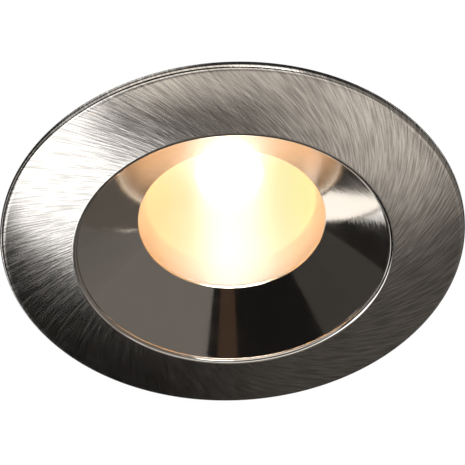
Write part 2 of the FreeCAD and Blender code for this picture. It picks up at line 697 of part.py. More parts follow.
def make_capacitors():
    """Two upright electrolytic capacitors with a crimped neck."""
    cans = []
    for name in ("capacitor", "output_capacitor"):
        radius = f"{name}_radius"
        top = f"({CIRCUIT_TOP} + {HEADROOM} - {name}_clearance)"
        can = lathe(f"{name}_can", [
            ("0", CIRCUIT_TOP),
            (f"{radius} - can_edge / 2", CIRCUIT_TOP),
            (radius, f"{CIRCUIT_TOP} + can_groove"),
            (radius, f"{CIRCUIT_TOP} + 3 * can_groove"),
            (f"{radius} - can_groove", f"{CIRCUIT_TOP} + 4 * can_groove"),
            (radius, f"{CIRCUIT_TOP} + 5 * can_groove"),
            (radius, f"{top} - can_edge"),
            (f"{radius} - can_edge", top),
            ("0", top),
        ])
        can.Placement = App.Placement(spot_vector(f"{name}_x", f"{name}_y", "0"), upright)
        cans.append(can)
    group = doc.addObject("Part::Compound", "driver_capacitors")
    group.Label = "driver_capacitors"
    group.Links = cans


def make_terminal_block():
    """The mains terminals, with two wire mouths in the top."""
    front = "(terminal_inset - circuit_radius)"
    height = f"({HEADROOM} - terminal_clearance)"
    body = block("terminal_block", "-terminal_width / 2", front, "terminal_width / 2",
                 f"{front} + terminal_depth", CIRCUIT_TOP, height)
    mouths = sketch_on(body, "XY_Plane", f"{CIRCUIT_TOP} + {height}")
    for x in ("-terminal_pitch / 2", "terminal_pitch / 2"):
        circle(mouths, x, f"{front} + terminal_mouth_inset", "terminal_mouth")
        rectangle(mouths, f"{x} - terminal_slot", f"{front} + terminal_slot_inset",
                  f"{x} + terminal_slot", f"{front} + terminal_slot_inset + terminal_slot_depth")
    cut(body, mouths, "terminal_mouth_depth")


make_liner()
lathe("driver_board", [
    ("0", SHELF),
    ("circuit_radius", SHELF),
    ("circuit_radius", CIRCUIT_TOP),
    ("0", CIRCUIT_TOP),
])
make_transformer()
make_capacitors()
make_terminal_block()
block("bridge_rectifier",
      "-rectifier_x - rectifier_width / 2", "-rectifier_y - rectifier_depth / 2",
      "-rectifier_x + rectifier_width / 2", "-rectifier_y + rectifier_depth / 2",
      CIRCUIT_TOP, "rectifier_height")
make_lead("led_lead_positive", 1)
make_lead("led_lead_negative", -1)


# ---------------------------------------------------------------- rear cover and cable gland
def make_rear_cover():
    """A moulded lid with a locating skirt, two screw lugs and the gland's hole."""
    skirt = "(bay_radius - liner_clearance)"
    body = lathe("rear_cover", [
        ("0", COVER_BOTTOM),
        (f"{skirt} - cover_skirt_wall", COVER_BOTTOM),
        (f"{skirt} - cover_skirt_wall", f"{COVER_BOTTOM} - cover_skirt"),
        (skirt, f"{COVER_BOTTOM} - cover_skirt"),
        (skirt, COVER_BOTTOM),
        ("tube_radius", COVER_BOTTOM),
        ("tube_radius", f"{COVER_TOP} - cover_edge_chamfer"),
        ("tube_radius - cover_edge_chamfer", COVER_TOP),
        ("0", COVER_TOP),
    ])
    lugs = sketch_on(body, "XY_Plane", COVER_BOTTOM)
    for degrees in COVER_SCREW_ANGLES:
        circle(lugs, *at_angle("cover_boss_circle", degrees), "cover_boss_radius")
    pad(body, lugs, "cover_thickness")
    holes = sketch_on(body, "XY_Plane", COVER_TOP)
    for degrees in COVER_SCREW_ANGLES:
        circle(holes, *at_angle("cover_boss_circle", degrees), "small_screw + screw_fit")
    cut(body, holes)
    gland_hole = sketch_on(body, "XY_Plane", COVER_TOP)
    circle(gland_hole, "0", "0", "gland_thread + gland_clearance")
    cut(body, gland_hole)


def make_gland_body():
    """Threaded shank, hexagon and neck, bored through for the cable."""
    body = new_body("gland_body")
    shank = sketch_on(body, "XY_Plane", f"{COVER_BOTTOM} - lock_nut_height - gland_shank_end")
    circle(shank, "0", "0", "gland_thread")
    pad(body, shank, "cover_thickness + lock_nut_height + gland_shank_end")
    hexagon_plan = sketch_on(body, "XY_Plane", COVER_TOP)
    outline(hexagon_plan, hexagon("gland_flats"))
    pad(body, hexagon_plan, "gland_hex_height")
    neck = sketch_on(body, "XY_Plane", f"{COVER_TOP} + gland_hex_height")
    circle(neck, "0", "0", "gland_neck")
    pad(body, neck, "gland_neck_height")
    bore = sketch_on(body, "XY_Plane", f"{COVER_TOP} + gland_hex_height + gland_neck_height")
    circle(bore, "0", "0", "gland_seal_bore + gland_seal_wall + gland_clearance")
    cut(body, bore, "gland_neck_height - gland_seal_floor")
    through = sketch_on(body, "XY_Plane", COVER_TOP)
    circle(through, "0", "0", "gland_bore")
    cut(body, through, "40", symmetric=True)


def make_gland_nut():
    """The dome nut that squeezes the seal round the cable."""
    low = f"({COVER_TOP} + gland_hex_height + gland_nut_gap)"
    high = f"({low} + gland_nut_height)"
    body = new_body("gland_nut")
    flats = sketch_on(body, "XY_Plane", low)
    outline(flats, hexagon("gland_flats"))
    pad(body, flats, "gland_nut_height")
    dome = sketch_on(body, "XZ_Plane")
    outline(dome, [
        ("gland_mouth + gland_dome_rim", high),
        ("gland_flats / cos(30) + 0.3", f"{high} - gland_dome_height"),
        ("gland_flats / cos(30) + 1", f"{high} - gland_dome_height"),
        ("gland_flats / cos(30) + 1", f"{high} + 1"),
        ("gland_mouth + gland_dome_rim", f"{high} + 1"),
    ], right={0: "gland_flats"})
    groove(body, dome)
    inside = sketch_on(body, "XZ_Plane")
    outline(inside, [
        ("0", f"{low} - 1"),
        ("gland_neck + gland_clearance", f"{low} - 1"),
        ("gland_neck + gland_clearance", f"{high} - gland_mouth_depth - 0.9"),
        ("gland_mouth", f"{high} - gland_mouth_depth"),
        ("gland_mouth", f"{high} + 1"),
        ("0", f"{high} + 1"),
    ])
    groove(body, inside)


ring("rear_seal", "bay_radius + seal_margin", "tube_radius - seal_margin", "housing_height", COVER_BOTTOM)
make_rear_cover()
make_gland_body()
ring("gland_seal", "gland_seal_bore", "gland_seal_bore + gland_seal_wall",
     f"{COVER_TOP} + gland_hex_height + gland_seal_floor",
     f"{COVER_TOP} + gland_hex_height + gland_neck_height + gland_seal_rise")
make_gland_nut()
lock_nut = new_body("gland_lock_nut")
lock_plan = sketch_on(lock_nut, "XY_Plane", f"{COVER_BOTTOM} - lock_nut_height")
outline(lock_plan, hexagon("lock_nut_flats"))
circle(lock_plan, "0", "0", "gland_thread + screw_fit")
pad(lock_nut, lock_plan, "lock_nut_height")


# ---------------------------------------------------------------- spring clips
# Each clip is drawn round its pin: x points out from the barrel (along the arm for the arm's own
# pieces), y along the pin and z up. The left clip is the right one turned half round the barrel.
def make_bracket(label):
    """A folded steel bracket: a wall plate with two ears that carry the pin."""
    body = new_body(label)
    wall_back = f"(-{WEB_INNER} - bracket_sheet)"
    wall_front = f"(-{WEB_INNER})"
    ears = sketch_on(body, "XZ_Plane")
    outline(ears, [
        (wall_back, "-bracket_foot"),
        ("0", "-bracket_ear_radius"),
        ("bracket_ear_radius * cos(60)", "bracket_ear_radius * sin(60)"),
        (wall_front, "bracket_ear_radius + 3"),
        (wall_back, "bracket_ear_radius + 3"),
    ], left={1: "bracket_ear_radius"})
    pad(body, ears, "2 * clip_pad_width", symmetric=True)
    gap = sketch_on(body, "XZ_Plane")
    rectangle(gap, wall_front, "-bracket_foot - 1", "bracket_ear_radius + 1", "bracket_ear_radius + 5")
    cut(body, gap, "2 * (clip_pad_width - bracket_sheet)", symmetric=True)
    wall = sketch_on(body, "YZ_Plane", wall_back)
    edge = "clip_pad_width"
    outline(wall, [
        (f"-{edge}", "-bracket_foot"),
        (edge, "-bracket_foot"),
        (edge, "bracket_top - bracket_corner"),
        (f"{edge} - bracket_corner", "bracket_top"),
        (f"bracket_corner - {edge}", "bracket_top"),
        (f"-{edge}", "bracket_top - bracket_corner"),
    ], left={2: "bracket_corner", 4: "bracket_corner"})
    pad(body, wall, "bracket_sheet")
    pin_holes = sketch_on(body, "XZ_Plane")
    circle(pin_holes, "0", "0", "pin_radius + pin_fit / 2")
    cut(body, pin_holes, "2 * clip_pad_width + 2", symmetric=True)
    screw_holes = sketch_on(body, "YZ_Plane", wall_front)
    for side in (-1, 1):
        circle(screw_holes, f"{side} * bracket_screw_spread", "bracket_screw_rise",
               "small_screw + screw_fit")
    cut(body, screw_holes, "bracket_sheet + 0.1")
    return body


def make_pin(label):
    """A headed pin, peened over at its far end."""
    body = new_body(label)
    section = sketch_on(body, "XY_Plane")
    reach = "(clip_pad_width + pin_fit / 2)"
    outline(section, [
        ("0", f"-{reach} - 0.5"),
        ("pin_radius + 0.2", f"-{reach} - 0.5"),
        ("pin_radius + 0.4", f"-{reach} - 0.3"),
        ("pin_radius + 0.4", f"-{reach}"),
        ("pin_radius", f"-{reach}"),
        ("pin_radius", reach),
        ("pin_head", reach),
        ("pin_head", f"{reach} + 0.4"),
        ("pin_head - 0.4", f"{reach} + 0.7"),
        ("0", f"{reach} + 0.7"),
    ])
    revolve(body, section)
    return body


def make_arm(label):
    """The stamped clip arm: a web with two knuckle ears and a foot that curves up like a ski."""
    body = new_body(label)
    ears = sketch_on(body, "XZ_Plane")
    outline(ears, [
        (f"({WEB_OUTER} * sin(rest_angle) - arm_knuckle) / cos(rest_angle)", f"-{WEB_OUTER}"),
        ("ear_length", f"-{WEB_OUTER}"),
        ("ear_length", f"-{WEB_INNER}"),
        ("arm_knuckle * cos(50)", "arm_knuckle * sin(50)"),
        ("arm_knuckle * cos(180 + rest_angle)", "arm_knuckle * sin(180 + rest_angle)"),
    ], left={3: "arm_knuckle"})
    pad(body, ears, "2 * arm_half_width", symmetric=True)
    between = sketch_on(body, "XZ_Plane")
    rectangle(between, "-arm_knuckle - 1", f"-{WEB_INNER}", "ear_length + 1", "arm_knuckle + 1")
    cut(body, between, "2 * (arm_half_width - arm_sheet)", symmetric=True)
    strip = sketch_on(body, "XZ_Plane")
    outer_curve = "(foot_curve + arm_sheet)"
    outline(strip, [
        ("ear_length / 2", f"-{WEB_OUTER}"),
        ("arm_length", f"-{WEB_OUTER}"),
        (f"arm_length + {outer_curve} * sin(foot_angle)",
         f"{FOOT_CENTRE} - {outer_curve} * cos(foot_angle)"),
        ("arm_length + foot_curve * sin(foot_angle)",
         f"{FOOT_CENTRE} - foot_curve * cos(foot_angle)"),
        ("arm_length", f"-{WEB_INNER}"),
        ("ear_length / 2", f"-{WEB_INNER}"),
    ], left={1: outer_curve}, right={3: "foot_curve"})
    pad(body, strip, "2 * arm_half_width", symmetric=True)
    shoulders = sketch_on(body, "XY_Plane", "arm_knuckle + 1")
    far = f"(arm_length + {outer_curve})"
    for side in (-1, 1):
        outline(shoulders, [
            ("ear_length", f"{side} * (arm_half_width + 1)"),
            ("ear_length", f"{side} * arm_half_width"),
            ("foot_start", f"{side} * foot_half_width"),
            (far, f"{side} * foot_half_width"),
            (far, f"{side} * (arm_half_width + 1)"),
        ][::side])
    cut(body, shoulders)
    holes = sketch_on(body, "XZ_Plane")
    circle(holes, "0", "0", "pin_radius + pin_fit")
    cut(body, holes, "2 * arm_half_width + 2", symmetric=True)
    window = sketch_on(body, "XY_Plane")
    rectangle(window, "1.5", "-1.6", "arm_leg - 2.5", "1.6")
    cut(body, window)
    return body


def make_sleeve(label):
    """The soft sleeve on the arm's foot, closed at its tip."""
    body = new_body(label)

    def foot_outline(sketch, gap, start, past):
        inner = f"(foot_curve - {gap})"
        outer = f"(foot_curve + arm_sheet + {gap})"
        across = f"arm_length + {past} * cos(foot_angle)"
        rise = f"{FOOT_CENTRE} + {past} * sin(foot_angle)"
        outline(sketch, [
            (start, f"-{WEB_OUTER} - {gap}"),
            ("arm_length", f"-{WEB_OUTER} - {gap}"),
            (f"arm_length + {outer} * sin(foot_angle)",
             f"{FOOT_CENTRE} - {outer} * cos(foot_angle)"),
            (f"{across} + {outer} * sin(foot_angle)", f"{rise} - {outer} * cos(foot_angle)"),
            (f"{across} + {inner} * sin(foot_angle)", f"{rise} - {inner} * cos(foot_angle)"),
            (f"arm_length + {inner} * sin(foot_angle)",
             f"{FOOT_CENTRE} - {inner} * cos(foot_angle)"),
            ("arm_length", f"-{WEB_INNER} + {gap}"),
            (start, f"-{WEB_INNER} + {gap}"),
        ], left={1: outer}, right={5: inner})

    skin = "(sleeve_fit + sleeve_wall)"
    outside = sketch_on(body, "XZ_Plane")
    foot_outline(outside, skin, "sleeve_start", skin)
    pad(body, outside, f"2 * (foot_half_width + {skin})", symmetric=True)
    inside = sketch_on(body, "XZ_Plane")
    foot_outline(inside, "sleeve_fit", "sleeve_start - 1", "sleeve_fit")
    cut(body, inside, "2 * (foot_half_width + sleeve_fit)", symmetric=True)
    return body


def middle_of_arc(start, heading, end):
    """The middle of the arc that leaves start along heading and ends at end."""
    chord = end - start
    sideways = heading - chord * (heading.dot(chord) / chord.Length**2)
    half_turn = math.acos(max(-1, min(1, heading.dot(chord) / chord.Length)))
    return (start + end) / 2 + sideways.normalize() * (chord.Length / 2 * math.tan(half_turn / 2))


def biarc(start, heading, end, final):
    """Two arcs that join start to end and keep both headings."""
    step = end - start
    both = heading + final
    spread = 2 * (1 - heading.dot(final))
    along = step.dot(both)
    reach = (math.sqrt(along**2 + spread * step.dot(step)) - along) / spread
    joint = (start + end + (heading - final) * reach) / 2
    back = middle_of_arc(end, final * -1, joint)
    return [
        Part.Arc(start, middle_of_arc(start, heading, joint), joint).toShape(),
        Part.Arc(joint, back, end).toShape(),
    ]


def coil_point(angle, first_angle, start_y):
    """A point of the coil's centre line and its heading, at an angle round the pin in radians."""
    radius = value("coil_radius")
    rise = value("coil_pitch") / (2 * math.pi)
    point = Vector(radius * math.cos(angle), start_y + rise * (angle - first_angle),
                   radius * math.sin(angle))
    heading = Vector(-radius * math.sin(angle), rise, radius * math.cos(angle)).normalize()
    return point, heading


def make_spring(label):
    """A torsion spring in one unbroken wire: one leg up the bracket's wall, five turns round the pin,
    and one leg along the inside of the arm's web."""
    first = math.pi
    last = math.radians(270 - value("rest_angle")) + 2 * math.pi * value("coil_turns")
    half_length = value("coil_pitch") * (last - first) / (4 * math.pi)
    quarters = math.ceil((last - first) / (math.pi / 2))
    angles = [first + (last - first) * k / quarters for k in range(quarters + 1)]
    spots = [coil_point(angle, first, -half_length) for angle in angles]
    start, start_heading = spots[0]
    end, end_heading = spots[-1]
    wall_tip = start - start_heading * value("wall_leg")
    arm_tip = end + end_heading * value("arm_leg")
    edges = [Part.LineSegment(wall_tip, start).toShape()]
    for (a, heading_a), (b, heading_b) in zip(spots, spots[1:]):
        edges.extend(biarc(a, heading_a, b, heading_b))
    edges.append(Part.LineSegment(end, arm_tip).toShape())
    wire = value("spring_wire")
    section = Part.Wire([Part.Circle(wall_tip, start_heading, wire).toShape()])
    spring = doc.addObject("Part::Feature", label)
    spring.Label = label
    spring.Shape = Part.Wire(edges).makePipeShell([section], True, False)
    turn_gap = min(
        (coil_point(angle + 2 * math.pi, 0, 0)[0] - coil_point(other, 0, 0)[0]).Length
        for angle in (0, 0.1, 0.2)
        for other in [angle + math.radians(k) for k in range(-40, 41)]
    ) - 2 * wire
    length = sum(edge.Length for edge in edges)
    share = spring.Shape.Volume / (math.pi * wire**2 * length)
    print(f"{label}: least gap between turns {turn_gap:.2f} mm, volume {share:.4f} of section x length")
    return spring


def along_arm(outward):
    """The placement of a piece drawn along the arm, at rest."""
    lean = App.Rotation(Vector(0, 1, 0), value("rest_angle"))
    return App.Placement(outward.multVec(pin_spot), outward * lean)


pin_spot = spot_vector(PIN_REACH, "0", "pin_height")
for clip_side, outward in (("right", upright), ("left", TURNED)):
    place = App.Placement(outward.multVec(pin_spot), outward)
    make_bracket(f"clip_bracket_{clip_side}").Placement = place
    make_pin(f"clip_pin_{clip_side}").Placement = place
    make_arm(f"clip_arm_{clip_side}").Placement = along_arm(outward)
    make_sleeve(f"clip_sleeve_{clip_side}").Placement = along_arm(outward)
    make_spring(f"clip_spring_{clip_side}").Placement = place


# ---------------------------------------------------------------- checks and files
def write_parts():
    """Checks every object, then writes each sub-part's solids to its own file."""
    doc.recompute()
    for item in doc.Objects:
        if "Invalid" in item.State or "Error" in item.State:
            raise SystemExit(f"{item.Label} is {item.State}")
    grouped = {piece for item in doc.Objects if item.TypeId == "Part::Compound" for piece in item.Links}
    kinds = ("PartDesign::Body", "Part::Compound", "Part::Feature")
    pieces = [item for item in doc.Objects if item.TypeId in kinds and item not in grouped]
    for piece in pieces:
        if piece.Shape.isNull() or not piece.Shape.isValid():
            raise SystemExit(f"{piece.Label} has no valid shape")
    os.makedirs("parts", exist_ok=True)
    for piece in pieces:
        piece.Shape.exportStep(f"parts/{piece.Label}.step")
    print(f"wrote {len(pieces)} sub-parts")


write_parts()
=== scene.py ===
# %% [markdown]
# # A recessed soffit downlight in Blender
# The part comes from CAD as a fixed frame: every solid is already in its place, in metres, with the
# ceiling plane at height zero and the light shining down. This lesson dresses it. The pieces that the
# eye looks at closely, such as the trim ring, are made again as smooth surfaces worked out with numpy,
# and every other piece keeps its CAD shape and gets a finish.

# %% Load the frame
import json
import bmesh
import bpy
import numpy as np
from mathutils import Matrix


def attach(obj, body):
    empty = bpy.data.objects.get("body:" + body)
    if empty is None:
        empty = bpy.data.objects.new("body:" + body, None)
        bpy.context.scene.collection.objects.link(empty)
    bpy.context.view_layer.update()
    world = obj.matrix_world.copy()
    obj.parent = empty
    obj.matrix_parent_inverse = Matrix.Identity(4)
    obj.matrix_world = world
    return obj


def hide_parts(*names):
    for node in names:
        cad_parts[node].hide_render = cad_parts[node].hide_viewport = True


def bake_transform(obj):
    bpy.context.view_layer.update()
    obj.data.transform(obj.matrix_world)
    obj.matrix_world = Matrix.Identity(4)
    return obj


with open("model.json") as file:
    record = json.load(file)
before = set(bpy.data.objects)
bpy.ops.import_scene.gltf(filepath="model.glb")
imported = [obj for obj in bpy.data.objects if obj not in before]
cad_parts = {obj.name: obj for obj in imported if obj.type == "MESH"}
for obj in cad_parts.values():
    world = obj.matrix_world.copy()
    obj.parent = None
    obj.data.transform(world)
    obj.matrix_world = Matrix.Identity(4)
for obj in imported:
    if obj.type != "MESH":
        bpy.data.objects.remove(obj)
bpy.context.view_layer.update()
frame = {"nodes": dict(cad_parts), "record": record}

MM = 0.001
NODES = frame["nodes"]
bpy.context.scene.view_settings.view_transform = "Standard"
print("nodes in the frame:", len(NODES))

# %% [markdown]
# ## Surfaces from arrays
# A round piece is half an outline, in radius and height, turned round the axis. It could be made with
# Blender's Spin or Screw, but worked out as one array it has even rows of faces, no seam, and normals
# that a polished metal can show without facets. Small rounds at each corner catch the light, so the
# outline is written as corners, each with its own radius. All lengths are in millimetres until a mesh
# is made.


# %% Outlines
def rounded(corners, steps=6):
    """An open outline from rows of (r, z, round). At a corner the two runs turn by an angle t. The arc
    leaves the first run round * tan(t / 2) before the corner, and its points are centre + round *
    (cos, sin) of angles spread evenly over the turn. The first and last rows are kept as they are."""
    corners = np.asarray(corners, float)
    spots, radii = corners[:, :2], corners[1:-1, 2:]
    runs = np.diff(spots, axis=0)
    runs /= np.linalg.norm(runs, axis=1, keepdims=True)
    come, go = runs[:-1], runs[1:]
    turn = np.arctan2(come[:, 0] * go[:, 1] - come[:, 1] * go[:, 0], (come * go).sum(1))[:, None]
    inward = np.sign(turn) * np.column_stack([-come[:, 1], come[:, 0]])
    begin = spots[1:-1] - come * radii * np.tan(np.abs(turn) / 2)
    centre = begin + inward * radii
    angle = np.arctan2(-inward[:, 1:], -inward[:, :1]) + turn * np.linspace(0, 1, steps)
    arcs = centre[:, None] + radii[:, None] * np.stack([np.cos(angle), np.sin(angle)], axis=-1)
    return np.vstack([spots[:1], arcs.reshape(-1, 2), spots[-1:]])


def bow(start, end, radius, steps=40):
    """The short arc of a radius between two points, bulging to the right of the way from start to end.
    Its centre lies to the left of the chord's middle, sqrt(radius^2 - (chord / 2)^2) away."""
    start, end = np.array(start, float), np.array(end, float)
    chord = end - start
    length = np.hypot(*chord)
    left = np.array([-chord[1], chord[0]]) / length
    centre = (start + end) / 2 + left * np.sqrt(radius ** 2 - length ** 2 / 4)
    first = np.arctan2(*(start - centre)[::-1])
    angle = first + 2 * np.arcsin(length / 2 / radius) * np.linspace(0, 1, steps)
    return centre + radius * np.column_stack([np.cos(angle), np.sin(angle)])


def finer(outline, longest=0.6):
    """The same outline with points added about every `longest` millimetres. A new point that would lie
    within a fifth of that from an old one is left out."""
    way = np.r_[0, np.cumsum(np.hypot(*np.diff(outline, axis=0).T))]
    extra = np.linspace(0, way[-1], int(np.ceil(way[-1] / longest)) + 1)
    near = np.abs(extra[:, None] - way).min(1) < longest / 5
    stops = np.sort(np.r_[way, extra[~near]])
    return np.column_stack([np.interp(stops, way, outline[:, k]) for k in (0, 1)])


square = rounded([(0, 0, 0), (1, 0, 0.1), (1, 1, 0.1), (0, 1, 0)])
print("an open square with two round corners has", len(square), "points")

# %% [markdown]
# ## Meshes
# An outline that is turned gives a grid of points, and every grid has the same kind of faces: each
# joins a point, the one below it, the one beside that, and the one beside the first. A piece is one or
# more closed solids. Faces that point the wrong way make a solid's volume negative, so they can be
# found and turned round without looking.


# %% Solids of revolution and mesh making
def grid_faces(rows, columns, wrap_rows=True, wrap_columns=True):
    """Quads of a grid of rows x columns points: (i, j), (i+1, j), (i+1, j+1), (i, j+1)."""
    i, j = np.meshgrid(np.arange(rows - (not wrap_rows)), np.arange(columns - (not wrap_columns)),
                       indexing="ij")
    here, below = i * columns, (i + 1) % rows * columns
    beside = (j + 1) % columns
    return np.stack([here + j, below + j, below + beside, here + beside], axis=-1).reshape(-1, 4)


def turned(runs, around, centre=(0, 0)):
    """Points, quads and run numbers of a turned solid: (r, z) becomes (r cos a, r sin a, z). The runs
    join into one outline, which is closed, or starts and ends on the axis."""
    outline = np.vstack([run[:-1] for run in runs] + [runs[-1][-1:]])
    part = np.repeat(np.arange(len(runs)), [len(run) - 1 for run in runs])
    closed = np.allclose(outline[0], outline[-1])
    if closed:
        outline = outline[:-1]
    a = np.linspace(0, 2 * np.pi, around, endpoint=False)[:, None]
    r, z = outline.T
    points = np.stack([centre[0] + np.cos(a) * r, centre[1] + np.sin(a) * r, z + 0 * a], axis=-1)
    quads = grid_faces(around, len(outline), wrap_columns=closed)
    return points.reshape(-1, 3), quads, np.tile(part, around)


def volume(points, quads):
    """Signed volume: the sum of p0 . (p1 x p2) / 6 over each quad's two triangles."""
    a, b, c, d = (points[quads[:, k]] for k in range(4))
    return ((a * np.cross(b, c)).sum() + (a * np.cross(c, d)).sum()) / 6


def merge_poles(mesh):
    """Merges points that lie within a ten-thousandth of a millimetre of each other."""
    work = bmesh.new()
    work.from_mesh(mesh)
    bmesh.ops.remove_doubles(work, verts=work.verts, dist=1e-7)
    work.to_mesh(mesh)
    work.free()


def add_object(name, content):
    """A new object in the scene, at the origin."""
    made = bpy.data.objects.new(name, content)
    bpy.context.scene.collection.objects.link(made)
    return made


CREASE = np.radians(30)


def piece(name, solids, finishes, body="luminaire"):
    """One object from closed solids in millimetres. Each is (points, quads, finish numbers). A solid
    whose signed volume is negative is turned inside out, points on the axis are merged into one, and
    edges sharper than CREASE stay sharp. A number past the last finish stands for the last. A piece
    given no body is tied to none."""
    start, points, quads, numbers = 0, [], [], []
    for spots, faces, number in solids:
        outward = faces if volume(spots, faces) > 0 else faces[:, ::-1]
        points.append(spots * MM)
        quads.append(outward + start)
        numbers.append(number)
        start += len(spots)
    mesh = bpy.data.meshes.new(name)
    mesh.from_pydata(np.vstack(points), [], np.vstack(quads))
    for look in finishes:
        mesh.materials.append(look)
    mesh.polygons.foreach_set("material_index", np.minimum(np.concatenate(numbers), len(finishes) - 1))
    merge_poles(mesh)
    mesh.shade_smooth()
    mesh.set_sharp_from_angle(angle=CREASE)
    made = add_object(name, mesh)
    if body:
        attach(made, body)
    print(f"{name}: {len(mesh.polygons)} faces")
    return made


# %% [markdown]
# ## Finishes
# A finish is a Principled shader with textures worked out on the piece's own coordinates, so that it
# stays put when the piece moves. Real surfaces differ at two scales: a fine grain that the light breaks
# on, and broad patches where the colour and the gloss drift. The function `finish` gives both. A few
# special finishes are built node by node further down, each beside the piece that wears it.

# %% Node helpers
def node(tree, kind, inputs=None, **settings):
    """Adds a node. An input that is a socket is linked, and any other value is set."""
    made = tree.nodes.new("ShaderNode" + kind)
    for word, setting in settings.items():
        setattr(made, word, setting)
    for socket, content in (inputs or {}).items():
        if isinstance(content, bpy.types.NodeSocket):
            tree.links.new(content, made.inputs[socket])
        else:
            made.inputs[socket].default_value = content
    return made


def maths(tree, operation, a, b=0.0, c=0.0):
    """One sum, product or other operation, as a socket."""
    return node(tree, "Math", {0: a, 1: b, 2: c}, operation=operation).outputs[0]


def remap(tree, factor, low, high, to_low=0.0, to_high=1.0):
    """A factor taken from one range to another, with its ends held. Sockets 1 to 4 are the ranges."""
    return node(tree, "MapRange", {"Value": factor, 1: low, 2: high, 3: to_low, 4: to_high}).outputs[0]


def blend_colours(tree, factor, a, b):
    """A mix of two colours (r, g, b). The Mix node has its colours at sockets 6 and 7 and output 2."""
    return node(tree, "Mix", {0: factor, 6: (*a, 1.0), 7: (*b, 1.0)}, data_type="RGBA").outputs[2]


def point(tree, x, y, z):
    """A vector from three numbers or sockets."""
    return node(tree, "CombineXYZ", {0: x, 1: y, 2: z}).outputs[0]


def parts_of(tree, vector):
    """The x, y and z of a vector, as three sockets."""
    return node(tree, "SeparateXYZ", {0: vector}).outputs


def from_axis(tree, place):
    """The part of a position that lies across the axis, (x, y, 0), and its length."""
    flat = node(tree, "VectorMath", {0: place, 1: (1, 1, 0)}, operation="MULTIPLY").outputs[0]
    return flat, node(tree, "VectorMath", {0: flat}, operation="LENGTH").outputs["Value"]


def noise(tree, place, scale, detail=2.0):
    """Fractal noise between about 0.3 and 0.7."""
    return node(tree, "TexNoise", {"Vector": place, "Scale": scale, "Detail": detail,
                                   "Roughness": 0.55}).outputs["Fac"]


# Ranges of the noise that are stretched over a whole change of colour or gloss
WHOLE, MIDDLE = (0.3, 0.7), (0.35, 0.65)


def relief(tree, height, depth):
    """A bump whose height of 1 stands for `depth` millimetres."""
    return node(tree, "Bump", {"Height": height, "Distance": depth * MM, "Strength": 1.0}).outputs[0]


def empty_finish(name):
    """A material with nothing in its tree yet."""
    made = bpy.data.materials.new(name)
    made.use_nodes = True
    made.node_tree.nodes.clear()
    return made, made.node_tree


def new_finish(name, **constants):
    """A material, its tree, its shader with its constant sockets set, and the piece's coordinates."""
    made = bpy.data.materials.new(name)
    made.use_nodes = True
    tree = made.node_tree
    shader = tree.nodes["Principled BSDF"]
    for word, content in constants.items():
        shader.inputs[word.replace("_", " ")].default_value = content
    return made, tree, shader, node(tree, "TexCoord").outputs["Object"]


def dress(tree, shader, colour=None, gloss=None, normal=None):
    """Links what is given to the shader's colour, roughness and normal."""
    for word, source in {"Base Color": colour, "Roughness": gloss, "Normal": normal}.items():
        if source is not None:
            tree.links.new(source, shader.inputs[word])


def finish(name, colour, rough, metallic=0.0, grain=4.0, stretch=(1, 1, 1), depth=0.01, drift=0.12,
           patch=0.12):
    """Fine grain of `grain` bumps per millimetre, `depth` millimetres deep, and patches, `patch` of
    them per millimetre. With both, colour and gloss drift by the share `drift`. `stretch` below 1 draws
    the grain out along an axis, for rolled or brushed metal."""
    made, tree, shader, place = new_finish(name, Metallic=metallic)
    drawn = node(tree, "Mapping", {"Vector": place, "Scale": stretch}).outputs[0]
    fine = noise(tree, drawn, grain / MM, detail=3.0)
    broad = noise(tree, place, patch / MM)
    mixed = maths(tree, "ADD", maths(tree, "MULTIPLY", fine, 0.5), maths(tree, "MULTIPLY", broad, 0.5))
    dark = tuple(c * (1 - drift) for c in colour)
    light = tuple(min(1.0, c * (1 + drift)) for c in colour)
    dress(tree, shader, blend_colours(tree, remap(tree, mixed, *MIDDLE), dark, light),
          remap(tree, mixed, *MIDDLE, rough * (1 - drift), min(1.0, rough * (1 + drift))),
          relief(tree, fine, depth))
    return made


# %% [markdown]
# ## Camera
# The photograph looks up at the downlight from below and in front. Where the flange's edge, its inner
# rim and the aperture appear as ellipses, their sizes and tilts give one eye point and one lens: the
# eye is about 23 cm away, 46 degrees below the horizon, behind a lens of about 96 mm, rolled by 2.8
# degrees.

# %% Camera
EYE_DISTANCE = 0.228                                   # metres from the origin
EYE_DROP, EYE_PITCH, EYE_ROLL = 45.83, 0.815, -2.78    # degrees
LENS_MM, SENSOR_MM = 95.65, 36


def axes_turned(axes, index, degrees):
    """Three unit axes (rows), turned about one of them by Rodrigues' formula."""
    k, a = axes[index], np.radians(degrees)
    cross = np.array([[0, -k[2], k[1]], [k[2], 0, -k[0]], [-k[1], k[0], 0]])
    return axes @ (np.eye(3) + np.sin(a) * cross + (1 - np.cos(a)) * cross @ cross).T


drop = np.radians(EYE_DROP)
back = np.array([0, -np.cos(drop), -np.sin(drop)])
axes = np.array([(1, 0, 0), np.cross(back, (1, 0, 0)), back])
axes = axes_turned(axes_turned(axes, 0, EYE_PITCH), 2, EYE_ROLL)
camera = add_object("camera", bpy.data.cameras.new("camera"))
pose = np.eye(4)
pose[:3, :3] = axes.T
pose[:3, 3] = back * EYE_DISTANCE
camera.matrix_world = Matrix(pose)
camera.data.sensor_width, camera.data.lens = SENSOR_MM, LENS_MM
camera.data.clip_start = 0.01
bpy.context.scene.camera = camera
print("eye at", np.round(back * EYE_DISTANCE, 4))

# %% [markdown]
# ## Studio
# The downlight hangs over a plain pale floor, in a soffit that is white to the camera and dark to
# reflections. Its darkness in reflections is painted shade, which stands in for the fitting's shadow on
# the ceiling round it. The soffit shows only from below, as in the photograph: from above, it is left
# out so that the housing can be looked at. The camera and the reflections see a white room, while the
# object itself gets plain soft light from the room at half that level, and from three soft boxes.

# %% Floor, soffit and world
FLOOR_DROP, FLOOR_HALF = 0.62, 5.0    # metres
# painted shade: how dark reflections see the soffit, for the fitting's shadow on the ceiling round it
SOFFIT_PAINTED_SHADE = 0.03                    # what reflections see of the soffit, where the camera sees 1
AMBIENT = 0.5                         # what the object gets of the world's light


